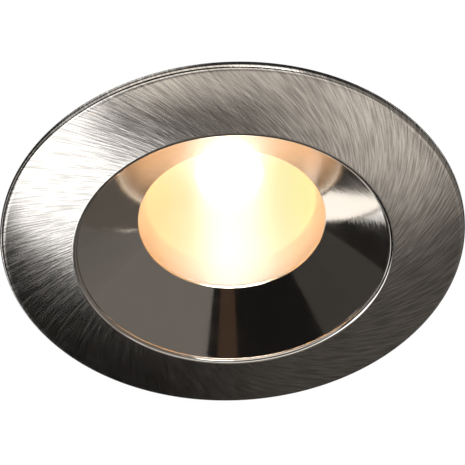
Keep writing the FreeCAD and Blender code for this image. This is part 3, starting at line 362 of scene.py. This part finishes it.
def sheet(name, points, quads, paint):
    """An object from points in metres, its faces and its one finish."""
    mesh = bpy.data.meshes.new(name)
    mesh.from_pydata(points, [], quads)
    mesh.materials.append(paint)
    made = add_object(name, mesh)
    return made


def soffit(paint, hole=36.6, reach=700, around=96):
    """A flat ring in the ceiling plane that faces down, from near the cut-out's edge outwards."""
    a = np.linspace(0, 2 * np.pi, around, endpoint=False)
    rim = np.column_stack([np.cos(a), np.sin(a), 0 * a])
    quads = grid_faces(2, around, wrap_rows=False)
    mesh = sheet("soffit", np.vstack([rim * hole, rim * reach]) * MM, quads, paint).data
    if mesh.polygons[0].normal[2] > 0:
        mesh.flip_normals()
    print("soffit faces", "down" if mesh.polygons[0].normal[2] < 0 else "up")


floor_paint = finish("floor_paint", (0.82, 0.82, 0.81), 0.6, grain=0.2, depth=0.02, drift=0.02,
                     patch=0.004)
floor_corners = FLOOR_HALF * np.array([(-1, -1, 0), (1, -1, 0), (1, 1, 0), (-1, 1, 0)])
sheet("floor", floor_corners - (0, 0, FLOOR_DROP), [(0, 1, 2, 3)], floor_paint)

soffit_paint, tree = empty_finish("soffit_paint")
path = node(tree, "LightPath")
below = maths(tree, "SUBTRACT", 1.0, node(tree, "NewGeometry").outputs["Backfacing"])
seen = maths(tree, "MULTIPLY", below, maths(tree, "MAXIMUM", path.outputs["Is Camera Ray"],
                                            path.outputs["Is Glossy Ray"]))
# Painted shade: to reflections the soffit glows nearly black, to the camera white
shade = remap(tree, path.outputs["Is Camera Ray"], 0.0, 1.0, SOFFIT_PAINTED_SHADE, 1.0)
white = node(tree, "Emission", {"Color": (1, 1, 1, 1), "Strength": shade}).outputs[0]
clear = node(tree, "BsdfTransparent").outputs[0]
shown = node(tree, "MixShader", {0: seen, 1: clear, 2: white}).outputs[0]
node(tree, "OutputMaterial", {"Surface": shown})
soffit(soffit_paint)

world = bpy.data.worlds.new("studio")
bpy.context.scene.world = world
world.use_nodes = True
tree = world.node_tree
path = node(tree, "LightPath")
direct = maths(tree, "MAXIMUM", path.outputs["Is Glossy Ray"], path.outputs["Is Transmission Ray"])
direct = maths(tree, "MAXIMUM", path.outputs["Is Camera Ray"], direct)
strength = remap(tree, direct, 0.0, 1.0, AMBIENT, 1.0)
tree.links.new(strength, tree.nodes["Background"].inputs["Strength"])
tree.nodes["Background"].inputs["Color"].default_value = (1, 1, 1, 1)

# %% [markdown]
# ## Lamps
# Two soft boxes stand above the soffit and light the housing, for views from above. A third stands low
# in front. A lamp shines along its own -z, so its z axis is set to point away from the object, and its
# x axis is kept level.

# %% Lamps
LAMP_TARGET = np.array((0, 0, 0.01))


def soft_box(name, place, size, power):
    """A square area lamp, in metres and watts, that looks at LAMP_TARGET."""
    lamp = bpy.data.lights.new(name, "AREA")
    lamp.shape, lamp.size, lamp.energy = "SQUARE", size, power
    away = np.array(place) - LAMP_TARGET
    away /= np.linalg.norm(away)
    side = np.cross((0, 0, 1), away)
    side /= np.linalg.norm(side)
    pose = np.eye(4)
    pose[:3, :3] = np.array([side, np.cross(away, side), away]).T
    pose[:3, 3] = place
    add_object(name, lamp).matrix_world = Matrix(pose)


soft_box("above_left", (-0.5, -0.45, 0.75), size=0.6, power=11)
soft_box("above_right", (0.65, 0.2, 0.6), size=0.6, power=8)
soft_box("front_low", (0.25, -0.6, -0.28), size=0.4, power=3)

# %% [markdown]
# ## Reflection panels
# Polished and brushed metal shows the room more than it shows itself, and the photo's flange is white,
# black and grey in large soft-edged areas, as if pale boards and black boards stood round the lamp.
# Curved patches of a sphere round the lamp do the same. They show in reflections and through glass, but
# they give no diffuse light, cast no shadow, and never show to the camera directly. The corners of each
# are directions, found by following the view from the camera off the flange, which is nearly flat, and
# off the cone. The cone reflects its own far side too, so that some areas show a panel after two
# reflections. Some panels are brighter than white: nickel gives back only about six tenths of the
# light, and parts of the photo's flange are white all the same.

# %% Reflection panels
PANEL_DISTANCE = 0.6                                   # metres
CREAM, WHITE, BROWN = (1.0, 0.94, 0.88), (0.95, 0.97, 1.0), (1.0, 0.62, 0.42)
BRIGHT = 1.5                                           # panels above this grey are WHITE

glow, tree = empty_finish("panel_glow")
grey = node(tree, "Attribute", attribute_name="grey").outputs["Color"]
shown = node(tree, "Emission", {"Color": grey, "Strength": 1.0}).outputs[0]
node(tree, "OutputMaterial", {"Surface": shown})
glow.cycles.emission_sampling = "NONE"


def panel(name, corners, greys, tint=CREAM, steps=12):
    """A patch of a sphere round the origin, hidden from the camera, diffuse light and shadows. Its
    corners are (azimuth, elevation) in degrees, clockwise from the top left, and its greys are one for
    each corner or one for all. Between the corners both are mixed with the weights (1 - u)(1 - v),
    u (1 - v), u v and (1 - u) v."""
    greys = np.broadcast_to(np.array(greys, float), 4)
    tint = WHITE if greys.min() > BRIGHT else tint
    u, v = np.meshgrid(np.linspace(0, 1, steps), np.linspace(0, 1, steps))
    weights = np.stack([(1 - u) * (1 - v), u * (1 - v), u * v, (1 - u) * v], axis=-1).reshape(-1, 4)
    azimuth, elevation = np.radians(weights @ np.array(corners, float)).T
    spots = PANEL_DISTANCE * np.column_stack([np.sin(azimuth) * np.cos(elevation),
                                              np.cos(azimuth) * np.cos(elevation), np.sin(elevation)])
    made = sheet(name, spots, grid_faces(steps, steps, wrap_rows=False, wrap_columns=False), glow)
    shade = (weights @ greys)[:, None] * np.array([*tint, 1.0])
    made.data.attributes.new("grey", "FLOAT_COLOR", "POINT").data.foreach_set("color", shade.ravel())
    made.visible_camera = made.visible_diffuse = made.visible_shadow = False


# name, corners and greys of each panel
for name, corners, greys in [
        ("far_left_outer", [(-53, -14), (-31, -6), (-31, -44.5), (-53, -45)], 0.02),
        ("far_left", [(-31, -6), (-10, 2), (-10, -45.5), (-31, -44.5)], 0.012),
        ("far_middle", [(-10, 2), (1, 2), (1, -43.5), (-10, -45.5)], [0.012, 0.045, 0.045, 0.012]),
        ("edge_shade", [(-53, -45), (-31, -44.5), (-31, -46), (-53, -50)], 0.02),
        ("white_inner", [(-31, -44.5), (-10, -45.5), (-10, -54.5), (-31, -61)], 2.05),
        ("white_middle", [(-53, -50), (-31, -46), (-31, -61), (-53, -68)], 2.05),
        ("white_outer", [(-78, -43.5), (-53, -43), (-53, -68), (-78, -68)], 2.6),
        ("tongue_tip", [(-31, -61), (-10, -54.5), (-10, -65), (-31, -66)], [0.05, 0.10, 0.08, 0.05]),
        ("tongue", [(-10, -58.5), (8, -58.5), (8, -65), (-10, -65)], [0.12, 0.15, 0.1, 0.08]),
        ("near_light", [(-10, -45.5), (8, -43.5), (8, -58.5), (-10, -58.5)], [0.04, 0.05, 0.25, 0.25]),
        ("under_left", [(-53, -68), (-31, -66), (-31, -85), (-53, -85)], 1.4),
        ("under_middle", [(-31, -66), (-10, -65), (-10, -85), (-31, -85)], [1.3, 0.7, 0.7, 1.3]),
        ("under_right", [(-10, -65), (70, -65.5), (70, -85), (-10, -85)], [0.55, 0.7, 0.7, 0.7]),
        ("right_grey", [(8, -52), (36, -52), (36, -65.5), (8, -65.5)], [0.4, 0.85, 0.8, 0.3]),
        ("right_rise", [(8, -43), (36, -43), (36, -52), (8, -52)], [0.06, 0.12, 0.8, 0.4]),
        ("far_right", [(1, 2), (20, 2), (20, -43), (1, -43)], [0.06, 0.09, 0.09, 0.06]),
        ("far_right_outer", [(20, -20), (36, -24), (36, -43), (20, -43)], 0.09),
        ("left_start", [(20, 2), (36, 2), (36, -24), (20, -20)], 0.16),
        ("left_low", [(36, 2), (60, 2), (60, -60), (36, -60)], [0.17, 0.2, 0.2, 0.17]),
        ("left_wall", [(60, 2), (150, 2), (150, -75), (60, -60)], 0.21),
        ("camera_edge", [(150, -40), (160, -40), (160, -75), (150, -75)], 0.015),
        ("camera_black", [(-181, -40), (-105, -35), (-105, -72), (-181, -75)], 0.012),
        ("right_dark_outer", [(-105, -5), (-78, -8), (-78, -43.5), (-105, -60)], 0.06),
        ("right_dark", [(-78, -8), (-53, -14), (-53, -43), (-78, -43.5)], 0.065),
        ("highlight", [(-60, 8), (-20, 8), (-20, 0), (-60, -14)], 1.9),
        ("front_light", [(140, -5), (225, -5), (225, -32), (140, -32)], 1.2)]:
    panel(name, corners, greys)
panel("camera_brown", [(160, -40), (179, -40), (179, -75), (160, -75)], 0.07, tint=BROWN)

# %% [markdown]
# ## Nickel
# The flange is brushed, and the cone is polished. The marks on the flange cross the circles round the
# axis at a slant, 38 degrees on the right half and 57 on the left. Such marks are spirals: noise that
# is drawn out along a line which crosses every radius at the same angle, and is fine across it. Their
# light and dark streaks in the colour are partly real marks and partly painted glints, as fine
# scratches show round a highlight. The two sets of marks, one for each half, fade into each other at
# the top and the bottom. The cone has faint turned grooves, which spread its reflections along the
# radius.

# %% Nickel finishes
NICKEL = (0.66, 0.62, 0.57)
FLANGE_MIDDLE = 36.0                    # radius in millimetres at which the marks have their true size
FADE = 12                               # millimetres to each side of the middle where the halves mix
LEFT_LEAN, RIGHT_LEAN = 57, 38          # degrees
HAIR, LINE = (0.28, 5.0), (0.7, 9.0)    # width and length of the marks, in millimetres
# painted glint: the lighter share beside a mark is partly a glint of scratches, fixed into the colour
DARK, GLINT_LIGHT = 0.70, 1.26                # shares of the nickel's colour in and beside a mark


def spiral_marks(tree, place, lean, flip, width, length):
    """Noise drawn out along spirals that leave the circle round the axis at the angle `lean`. With the
    angle p and the radius r seen from below, the distance along a spiral is R (cos lean * p + sin lean
    * ln (r / R)) and across it R (cos lean * ln (r / R) - sin lean * p), where R is FLANGE_MIDDLE. The
    angle has its seam on the left, or on the right when flipped. Each set has its own layer of the
    noise, so that no two are alike."""
    x, y, _ = parts_of(tree, place)
    sign = -1.0 if flip else 1.0
    angle = maths(tree, "ARCTAN2", maths(tree, "MULTIPLY", y, -sign), maths(tree, "MULTIPLY", x, sign))
    _, reach = from_axis(tree, place)
    height = maths(tree, "LOGARITHM", maths(tree, "MULTIPLY", reach, 1 / (FLANGE_MIDDLE * MM)), np.e)
    c, s = FLANGE_MIDDLE * np.cos(lean), FLANGE_MIDDLE * np.sin(lean)
    along = maths(tree, "MULTIPLY_ADD", angle, c, maths(tree, "MULTIPLY", height, s))
    across = maths(tree, "MULTIPLY_ADD", angle, -s, maths(tree, "MULTIPLY", height, c))
    layer = 10 * width + 50 * flip
    return noise(tree, point(tree, maths(tree, "MULTIPLY", across, 1 / width),
                             maths(tree, "MULTIPLY", along, 1 / length), layer), 1.0)


def brushed_nickel():
    """Fine hairs that change the colour, partly as painted glints, and broader lines that change the
    gloss. Both are cut into the surface. The seam of neither half shows, because each lies in the other
    half."""
    made, tree, shader, place = new_finish("brushed_nickel", Metallic=1.0)
    right = remap(tree, parts_of(tree, place)[0], -FADE * MM, FADE * MM)

    def marks(size):
        left_half = spiral_marks(tree, place, np.radians(LEFT_LEAN), True, *size)
        right_half = spiral_marks(tree, place, np.radians(RIGHT_LEAN), False, *size)
        return node(tree, "Mix", {0: right, 2: left_half, 3: right_half}).outputs[0]

    hair, line = marks(HAIR), marks(LINE)
    height = maths(tree, "ADD", hair, maths(tree, "MULTIPLY", line, 0.8))
    # Painted glints: the hairs' light and dark colours stand partly for scratches catching the light
    dark, light = tuple(DARK * c for c in NICKEL), tuple(min(1, GLINT_LIGHT * c) for c in NICKEL)
    dress(tree, shader, blend_colours(tree, remap(tree, hair, *MIDDLE), dark, light),
          remap(tree, line, *WHOLE, to_low=0.18, to_high=0.12), relief(tree, height, depth=0.012))
    return made


def polished_nickel(grooves_a_millimetre=2.2, breaks=14.0):
    """A mirror with fine turned grooves: noise that is fine along the radius and drawn out round the
    axis, with about `breaks` changes in each radian."""
    made, tree, shader, place = new_finish("polished_nickel", Metallic=1.0)
    flat, reach = from_axis(tree, place)
    x, y, _ = parts_of(tree, node(tree, "VectorMath", {0: flat}, operation="NORMALIZE").outputs[0])
    grooves = noise(tree, point(tree, maths(tree, "MULTIPLY", reach, grooves_a_millimetre / MM),
                                maths(tree, "MULTIPLY", x, breaks),
                                maths(tree, "MULTIPLY", y, breaks)), 1.0)
    haze = noise(tree, place, 0.25 / MM)
    dress(tree, shader, blend_colours(tree, haze, tuple(0.94 * c for c in NICKEL), NICKEL),
          remap(tree, haze, *WHOLE, to_low=0.06, to_high=0.10), relief(tree, grooves, depth=0.006))
    return made


flange_finish, cone_finish = brushed_nickel(), polished_nickel()
back_finish = finish("cast_nickel_back", (0.50, 0.48, 0.45), 0.42, metallic=1.0, grain=2.5, depth=0.02)

# %% [markdown]
# ## Trim ring
# Flange, rim and cone are one casting. The CAD solid has the right shape, but its facets would show in
# the polish, so the ring is turned again from its outline, with small rounds at the edges and 320 steps
# around. The outline is written in four runs, because each run can wear its own finish. The screw
# bosses behind the cone are short posts, and their lower ends follow its slope, inside the metal.

# %% Trim ring
CROWN_RADIUS = 175
flange_edge = rounded([(42.5, -0.3, 0), (42.5, -1.424, 0.78), (41.6, -1.424, 0)], steps=12)
crown = bow((29.5, -2.376), (41.6, -1.424), CROWN_RADIUS)[::-1]
rim = rounded([(29.5, -2.376, 0), (28.55, -2.39, 0.75), (28.55, -1.6, 0.03), (28.35, -1.45, 0.06),
               (17.7, 7.4, 0.10), (17.7, 8.0, 0.10), (18.3, 8.0, 0)], steps=8)
inside = rounded([(18.3, 8.0, 0), (20.9, 8.0, 0.2), (20.9, 12.2, 0.2), (23.2, 12.2, 0.2),
                  (23.2, 4.91, 0.5), (30.07, -0.8, 0.5), (33.4, -0.8, 0.4), (33.4, 4.5, 0.15),
                  (34.5, 4.5, 0.05), (34.8, 4.2, 0.05), (34.8, 0.0, 0.1), (36.2, 0.0, 0.1),
                  (36.2, -0.8, 0.1), (41.2, -0.8, 0.1), (41.2, -0.3, 0.05), (42.5, -0.3, 0)], steps=5)
BOSS_CIRCLE = 26
BOSSES = BOSS_CIRCLE * np.array([(np.cos(a), np.sin(a)) for a in np.radians((45, 135, 225, 315))])
boss = rounded([(0, 3.4, 0), (2.7, 3.4, 0.1), (2.7, 12.8, 0.15), (0, 12.8, 0)])
CONE_EDGE = (28.35, -1.45)    # where the cone's front begins, as (r, z)
CONE_SLOPE = 0.831            # its rise for each millimetre inwards
BOSS_CLEARANCE = 1.2          # from the cone's front up to a boss
trim_finishes = [flange_finish, flange_finish, cone_finish, back_finish]


def boss_solid(spot):
    """A screw boss whose lower end stays above the front of the cone, in the last of the finishes."""
    points, quads, _ = turned([boss], around=32, centre=spot)
    cone = CONE_EDGE[1] + (CONE_EDGE[0] - np.hypot(*points[:, :2].T)) * CONE_SLOPE
    points[:, 2] = np.maximum(points[:, 2], cone + BOSS_CLEARANCE)
    return points, quads, np.full(len(quads), len(trim_finishes) - 1)


ring_runs = [finer(flange_edge), finer(crown), finer(rim, longest=0.35), finer(inside, longest=1.5)]
ring_solids = [turned(ring_runs, around=320)] + [boss_solid(spot) for spot in BOSSES]
trim = piece("trim_ring_turned", ring_solids, trim_finishes)
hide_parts("trim_ring")

# %% [markdown]
# ## Lens, reflector and LED
# Behind the aperture stand a lightly frosted glass disc, a satin reflector and the round yellow face of
# the LED. The reflector glows because the LED really shines into it. Grooves turned round a bowl draw
# the reflection of a small lamp out, up and down the bowl, and that could be what makes the bright
# upright band in the photo. The sheen here does the same: its tangent points up the bowl, towards the
# middle of its top. The satin is orange, so where the light is strong it burns out to white, and
# beside that it falls off to cream and orange.

# %% Reflector, lens and LED face
REFLECTOR_TOP = 22.3
INNER_BOW, OUTER_BOW = 19, 20.5    # radii of the bowl's curve and of the shell behind it
satin, tree, shader, place = new_finish("reflector_satin", Metallic=0.0, IOR=6.0, Anisotropic=1.0)
x, y, z = parts_of(tree, place)
uphill = point(tree, maths(tree, "MULTIPLY", x, -1.0), maths(tree, "MULTIPLY", y, -1.0),
               maths(tree, "SUBTRACT", REFLECTOR_TOP * MM, z))
tree.links.new(uphill, shader.inputs["Tangent"])
pebbles = noise(tree, place, 1.1 / MM)
dress(tree, shader, blend_colours(tree, pebbles, (0.52, 0.27, 0.08), (0.60, 0.31, 0.10)),
      remap(tree, pebbles, *WHOLE, to_low=0.55, to_high=0.62), relief(tree, pebbles, depth=0.006))

throat = rounded([(19.5, 11.0, 0), (18.2, 12.3, 0.8), (16.4, 14.2, 0)])
bowl = np.vstack([bow((16.4, 14.2), (6.2, REFLECTOR_TOP), INNER_BOW)[::-1], throat[::-1][1:]])
shell = bow((18.62, 12.0), (7.2, REFLECTOR_TOP), OUTER_BOW)
lip = rounded([(19.5, 11.0, 0), (20.5, 11.0, 0.15), (20.5, 12.0, 0.15), (18.62, 12.0, 0)])
top_edge = np.array([(r, REFLECTOR_TOP) for r in (7.2, 6.7, 6.2)])
print("bowl from", bowl[0].round(2), "to", bowl[-1].round(2))
cup_runs = [finer(bowl), finer(lip), finer(shell), top_edge]
cup = piece("reflector_cup", [turned(cup_runs, around=200)], [satin])
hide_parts("reflector")

glass, tree, shader, place = new_finish("lens_glass", Transmission_Weight=1.0, IOR=1.5,
                                        Base_Color=(0.97, 0.98, 0.97, 1))
smear = noise(tree, place, 0.15 / MM)
dress(tree, shader, gloss=remap(tree, smear, *WHOLE, to_low=0.16, to_high=0.22))
lens_outline = rounded([(0, 8.8, 0), (20.58, 8.8, 0.25), (20.58, 11.0, 0.25), (0, 11.0, 0)])
lens = piece("lens_disc", [turned([finer(lens_outline, longest=2)], around=160)], [glass])
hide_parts("front_lens")

WARM, LED_STRENGTH = (1.0, 0.95, 0.88), 240
phosphor, tree, shader, place = new_finish("led_phosphor", Roughness=0.5, Emission_Color=(*WARM, 1),
                                           Emission_Strength=LED_STRENGTH)
dots = noise(tree, place, 2.5 / MM, detail=3.0)
dress(tree, shader, blend_colours(tree, dots, (0.95, 0.72, 0.25), (0.98, 0.82, 0.36)),
      normal=relief(tree, dots, depth=0.02))
face_outline = rounded([(0, 23.9, 0), (4.95, 23.9, 0.05), (4.95, 23.52, 0.2), (0, 23.5, 0)])
led = piece("led_face", [turned([finer(face_outline, longest=1)], around=96)], [phosphor])
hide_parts("led_emitter")

# %% [markdown]
# ## Finishes of the other pieces
# Each CAD node keeps its shape and gets the finish of the material that it would be made of. The frame
# names a material slot for each node, so one table of looks, by slot, dresses them all.

# %% Finishes by slot
LOOKS = {
    "gasket_foam": dict(colour=(0.05, 0.05, 0.05), rough=0.9, grain=3, depth=0.06),
    "silicone": dict(colour=(0.7, 0.7, 0.68), rough=0.5, grain=2, depth=0.01),
    "die_cast": dict(colour=(0.50, 0.50, 0.51), rough=0.45, metallic=0.35, grain=2.2, depth=0.03,
                     drift=0.08),
    "zinc_screw": dict(colour=(0.66, 0.66, 0.63), rough=0.3, metallic=1.0, grain=3, depth=0.006),
    "thermal_pad": dict(colour=(0.52, 0.58, 0.64), rough=0.8, grain=3, depth=0.02),
    "led_ceramic": dict(colour=(0.86, 0.86, 0.84), rough=0.4, grain=4, depth=0.005),
    "white_plastic": dict(colour=(0.84, 0.84, 0.82), rough=0.45, grain=3, depth=0.01, drift=0.04),
    "circuit_board": dict(colour=(0.08, 0.26, 0.14), rough=0.35, grain=2, depth=0.01),
    "ferrite": dict(colour=(0.08, 0.08, 0.085), rough=0.7, grain=5, depth=0.02),
    "winding_tape": dict(colour=(0.80, 0.64, 0.10), rough=0.3, grain=1, depth=0.01),
    "capacitor_sleeve": dict(colour=(0.05, 0.06, 0.10), rough=0.25, grain=1, depth=0.01),
    "green_plastic": dict(colour=(0.10, 0.36, 0.24), rough=0.5, grain=3, depth=0.01),
    "black_plastic": dict(colour=(0.04, 0.04, 0.04), rough=0.5, grain=3, depth=0.015),
    "red_wire": dict(colour=(0.58, 0.04, 0.03), rough=0.45, grain=2, depth=0.01),
    "black_wire": dict(colour=(0.03, 0.03, 0.03), rough=0.45, grain=2, depth=0.01),
    "cover_plastic": dict(colour=(0.06, 0.06, 0.065), rough=0.55, grain=3.5, depth=0.03),
    "gland_plastic": dict(colour=(0.05, 0.05, 0.05), rough=0.4, grain=2.5, depth=0.012),
    "gland_rubber": dict(colour=(0.03, 0.03, 0.03), rough=0.8, grain=3, depth=0.02),
    "bracket_steel": dict(colour=(0.68, 0.69, 0.68), rough=0.34, metallic=1.0, grain=1.2,
                          stretch=(1, 0.15, 1), depth=0.012),
    "pin_steel": dict(colour=(0.60, 0.60, 0.60), rough=0.22, metallic=1.0, grain=3, depth=0.004),
    "clip_steel": dict(colour=(0.70, 0.70, 0.69), rough=0.28, metallic=1.0, grain=2.4,
                       stretch=(0.06, 1, 0.1), depth=0.014),
    "sleeve_rubber": dict(colour=(0.60, 0.60, 0.58), rough=0.6, grain=2.5, depth=0.02, drift=0.05),
    "spring_steel": dict(colour=(0.56, 0.56, 0.55), rough=0.28, metallic=1.0, grain=2, depth=0.01),
}
FINISHES = {slot: finish(slot, **look) for slot, look in LOOKS.items()}
slots = {part["node"]: part["material_slot"] for part in frame["record"]["subparts"]}
dressed = [name for name, slot in slots.items() if slot in FINISHES]
for name in dressed:
    NODES[name].data.materials.clear()
    NODES[name].data.materials.append(FINISHES[slots[name]])
print("dressed", len(dressed), "of", len(slots), "nodes")

# %% [markdown]
# ## Clip springs
# Each clip is pushed down by a torsion spring: one length of bright spring wire with a leg up the
# bracket's wall, five turns round the pin, and a leg along the arm. A tube that follows the wire's
# centre line does it: the coil is a helix, the legs run straight on from its ends, and half round ends
# close the tube. When the clip folds, one end of the wire stays with the bracket and the other turns
# with the arm, so the coil between them winds up.

# %% Springs
PIN_X, PIN_Z = 27.55, 14.0             # the pin's axis, in millimetres from the luminaire's
COIL, WIRE, PITCH = 2.4, 0.45, 1.35    # radius of the coil, radius of the wire, rise in each turn
WALL_LEG, ARM_LEG = 4.0, 8.5           # lengths of the straight legs
REST_ANGLE = 29                        # degrees by which the arm at rest points below the horizontal
# The angles where the coil begins and ends, and half its length
FIRST, LAST = np.pi, np.radians(270 - REST_ANGLE) + 10 * np.pi
HALF = PITCH * (LAST - FIRST) / (4 * np.pi)


def spring_line(steps_a_turn=48, leg_steps=24):
    """Centre line round the pin: (R cos a, p (a - a0) / 2 pi - HALF, R sin a), with a straight leg at
    each end."""
    a = np.linspace(FIRST, LAST, int(steps_a_turn * (LAST - FIRST) / (2 * np.pi)))
    along = PITCH * (a - FIRST) / (2 * np.pi) - HALF
    coil = np.column_stack([COIL * np.cos(a), along, COIL * np.sin(a)])

    def heading(angle):
        run = np.array([-COIL * np.sin(angle), PITCH / (2 * np.pi), COIL * np.cos(angle)])
        return run / np.linalg.norm(run)

    wall = coil[0] - heading(FIRST) * np.linspace(WALL_LEG, 0, leg_steps)[:-1, None]
    arm = coil[-1] + heading(LAST) * np.linspace(0, ARM_LEG, leg_steps)[1:, None]
    return np.vstack([wall, coil, arm])


def wire_tube(line, radius, around=20, cap=6):
    """A round tube along a line: centre + r (cos b side + sin b up). Its ends are half spheres."""
    run = np.gradient(line, axis=0)
    run /= np.linalg.norm(run, axis=1)[:, None]
    dome = np.linspace(0, np.pi / 2, cap, endpoint=False)
    start = line[0] + run[0] * radius * (1 - np.cos(dome))[:, None]
    end = line[-1] - run[-1] * radius * (1 - np.cos(dome[::-1]))[:, None]
    body = slice(2, -2)    # the two points nearest each end make room for the half sphere
    centre = np.vstack([start, line[body], end])
    heading = np.vstack([np.tile(run[0], (cap, 1)), run[body], np.tile(run[-1], (cap, 1))])
    width = radius * np.concatenate([np.sin(dome), np.ones(len(line[body])), np.sin(dome[::-1])])
    side = np.cross(heading, [0.0, 1.0, 0.0])
    side /= np.linalg.norm(side, axis=1)[:, None]
    up = np.cross(side, heading)
    b = np.linspace(0, 2 * np.pi, around, endpoint=False)[None, :, None]
    ring = np.cos(b) * side[:, None] + np.sin(b) * up[:, None]
    spots = centre[:, None] + width[:, None, None] * ring
    return spots.reshape(-1, 3), grid_faces(len(centre), around, wrap_rows=False)


spots, quads = wire_tube(spring_line(), WIRE)
for side, turn in (("right", 1), ("left", -1)):
    placed = spots * [turn, turn, 1] + [turn * PIN_X, 0, PIN_Z]
    spring = piece(f"torsion_spring_{side}", [(placed, quads, np.zeros(len(quads), int))],
                   [FINISHES["spring_steel"]], body=None)
    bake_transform(spring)
    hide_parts(f"clip_spring_{side}")
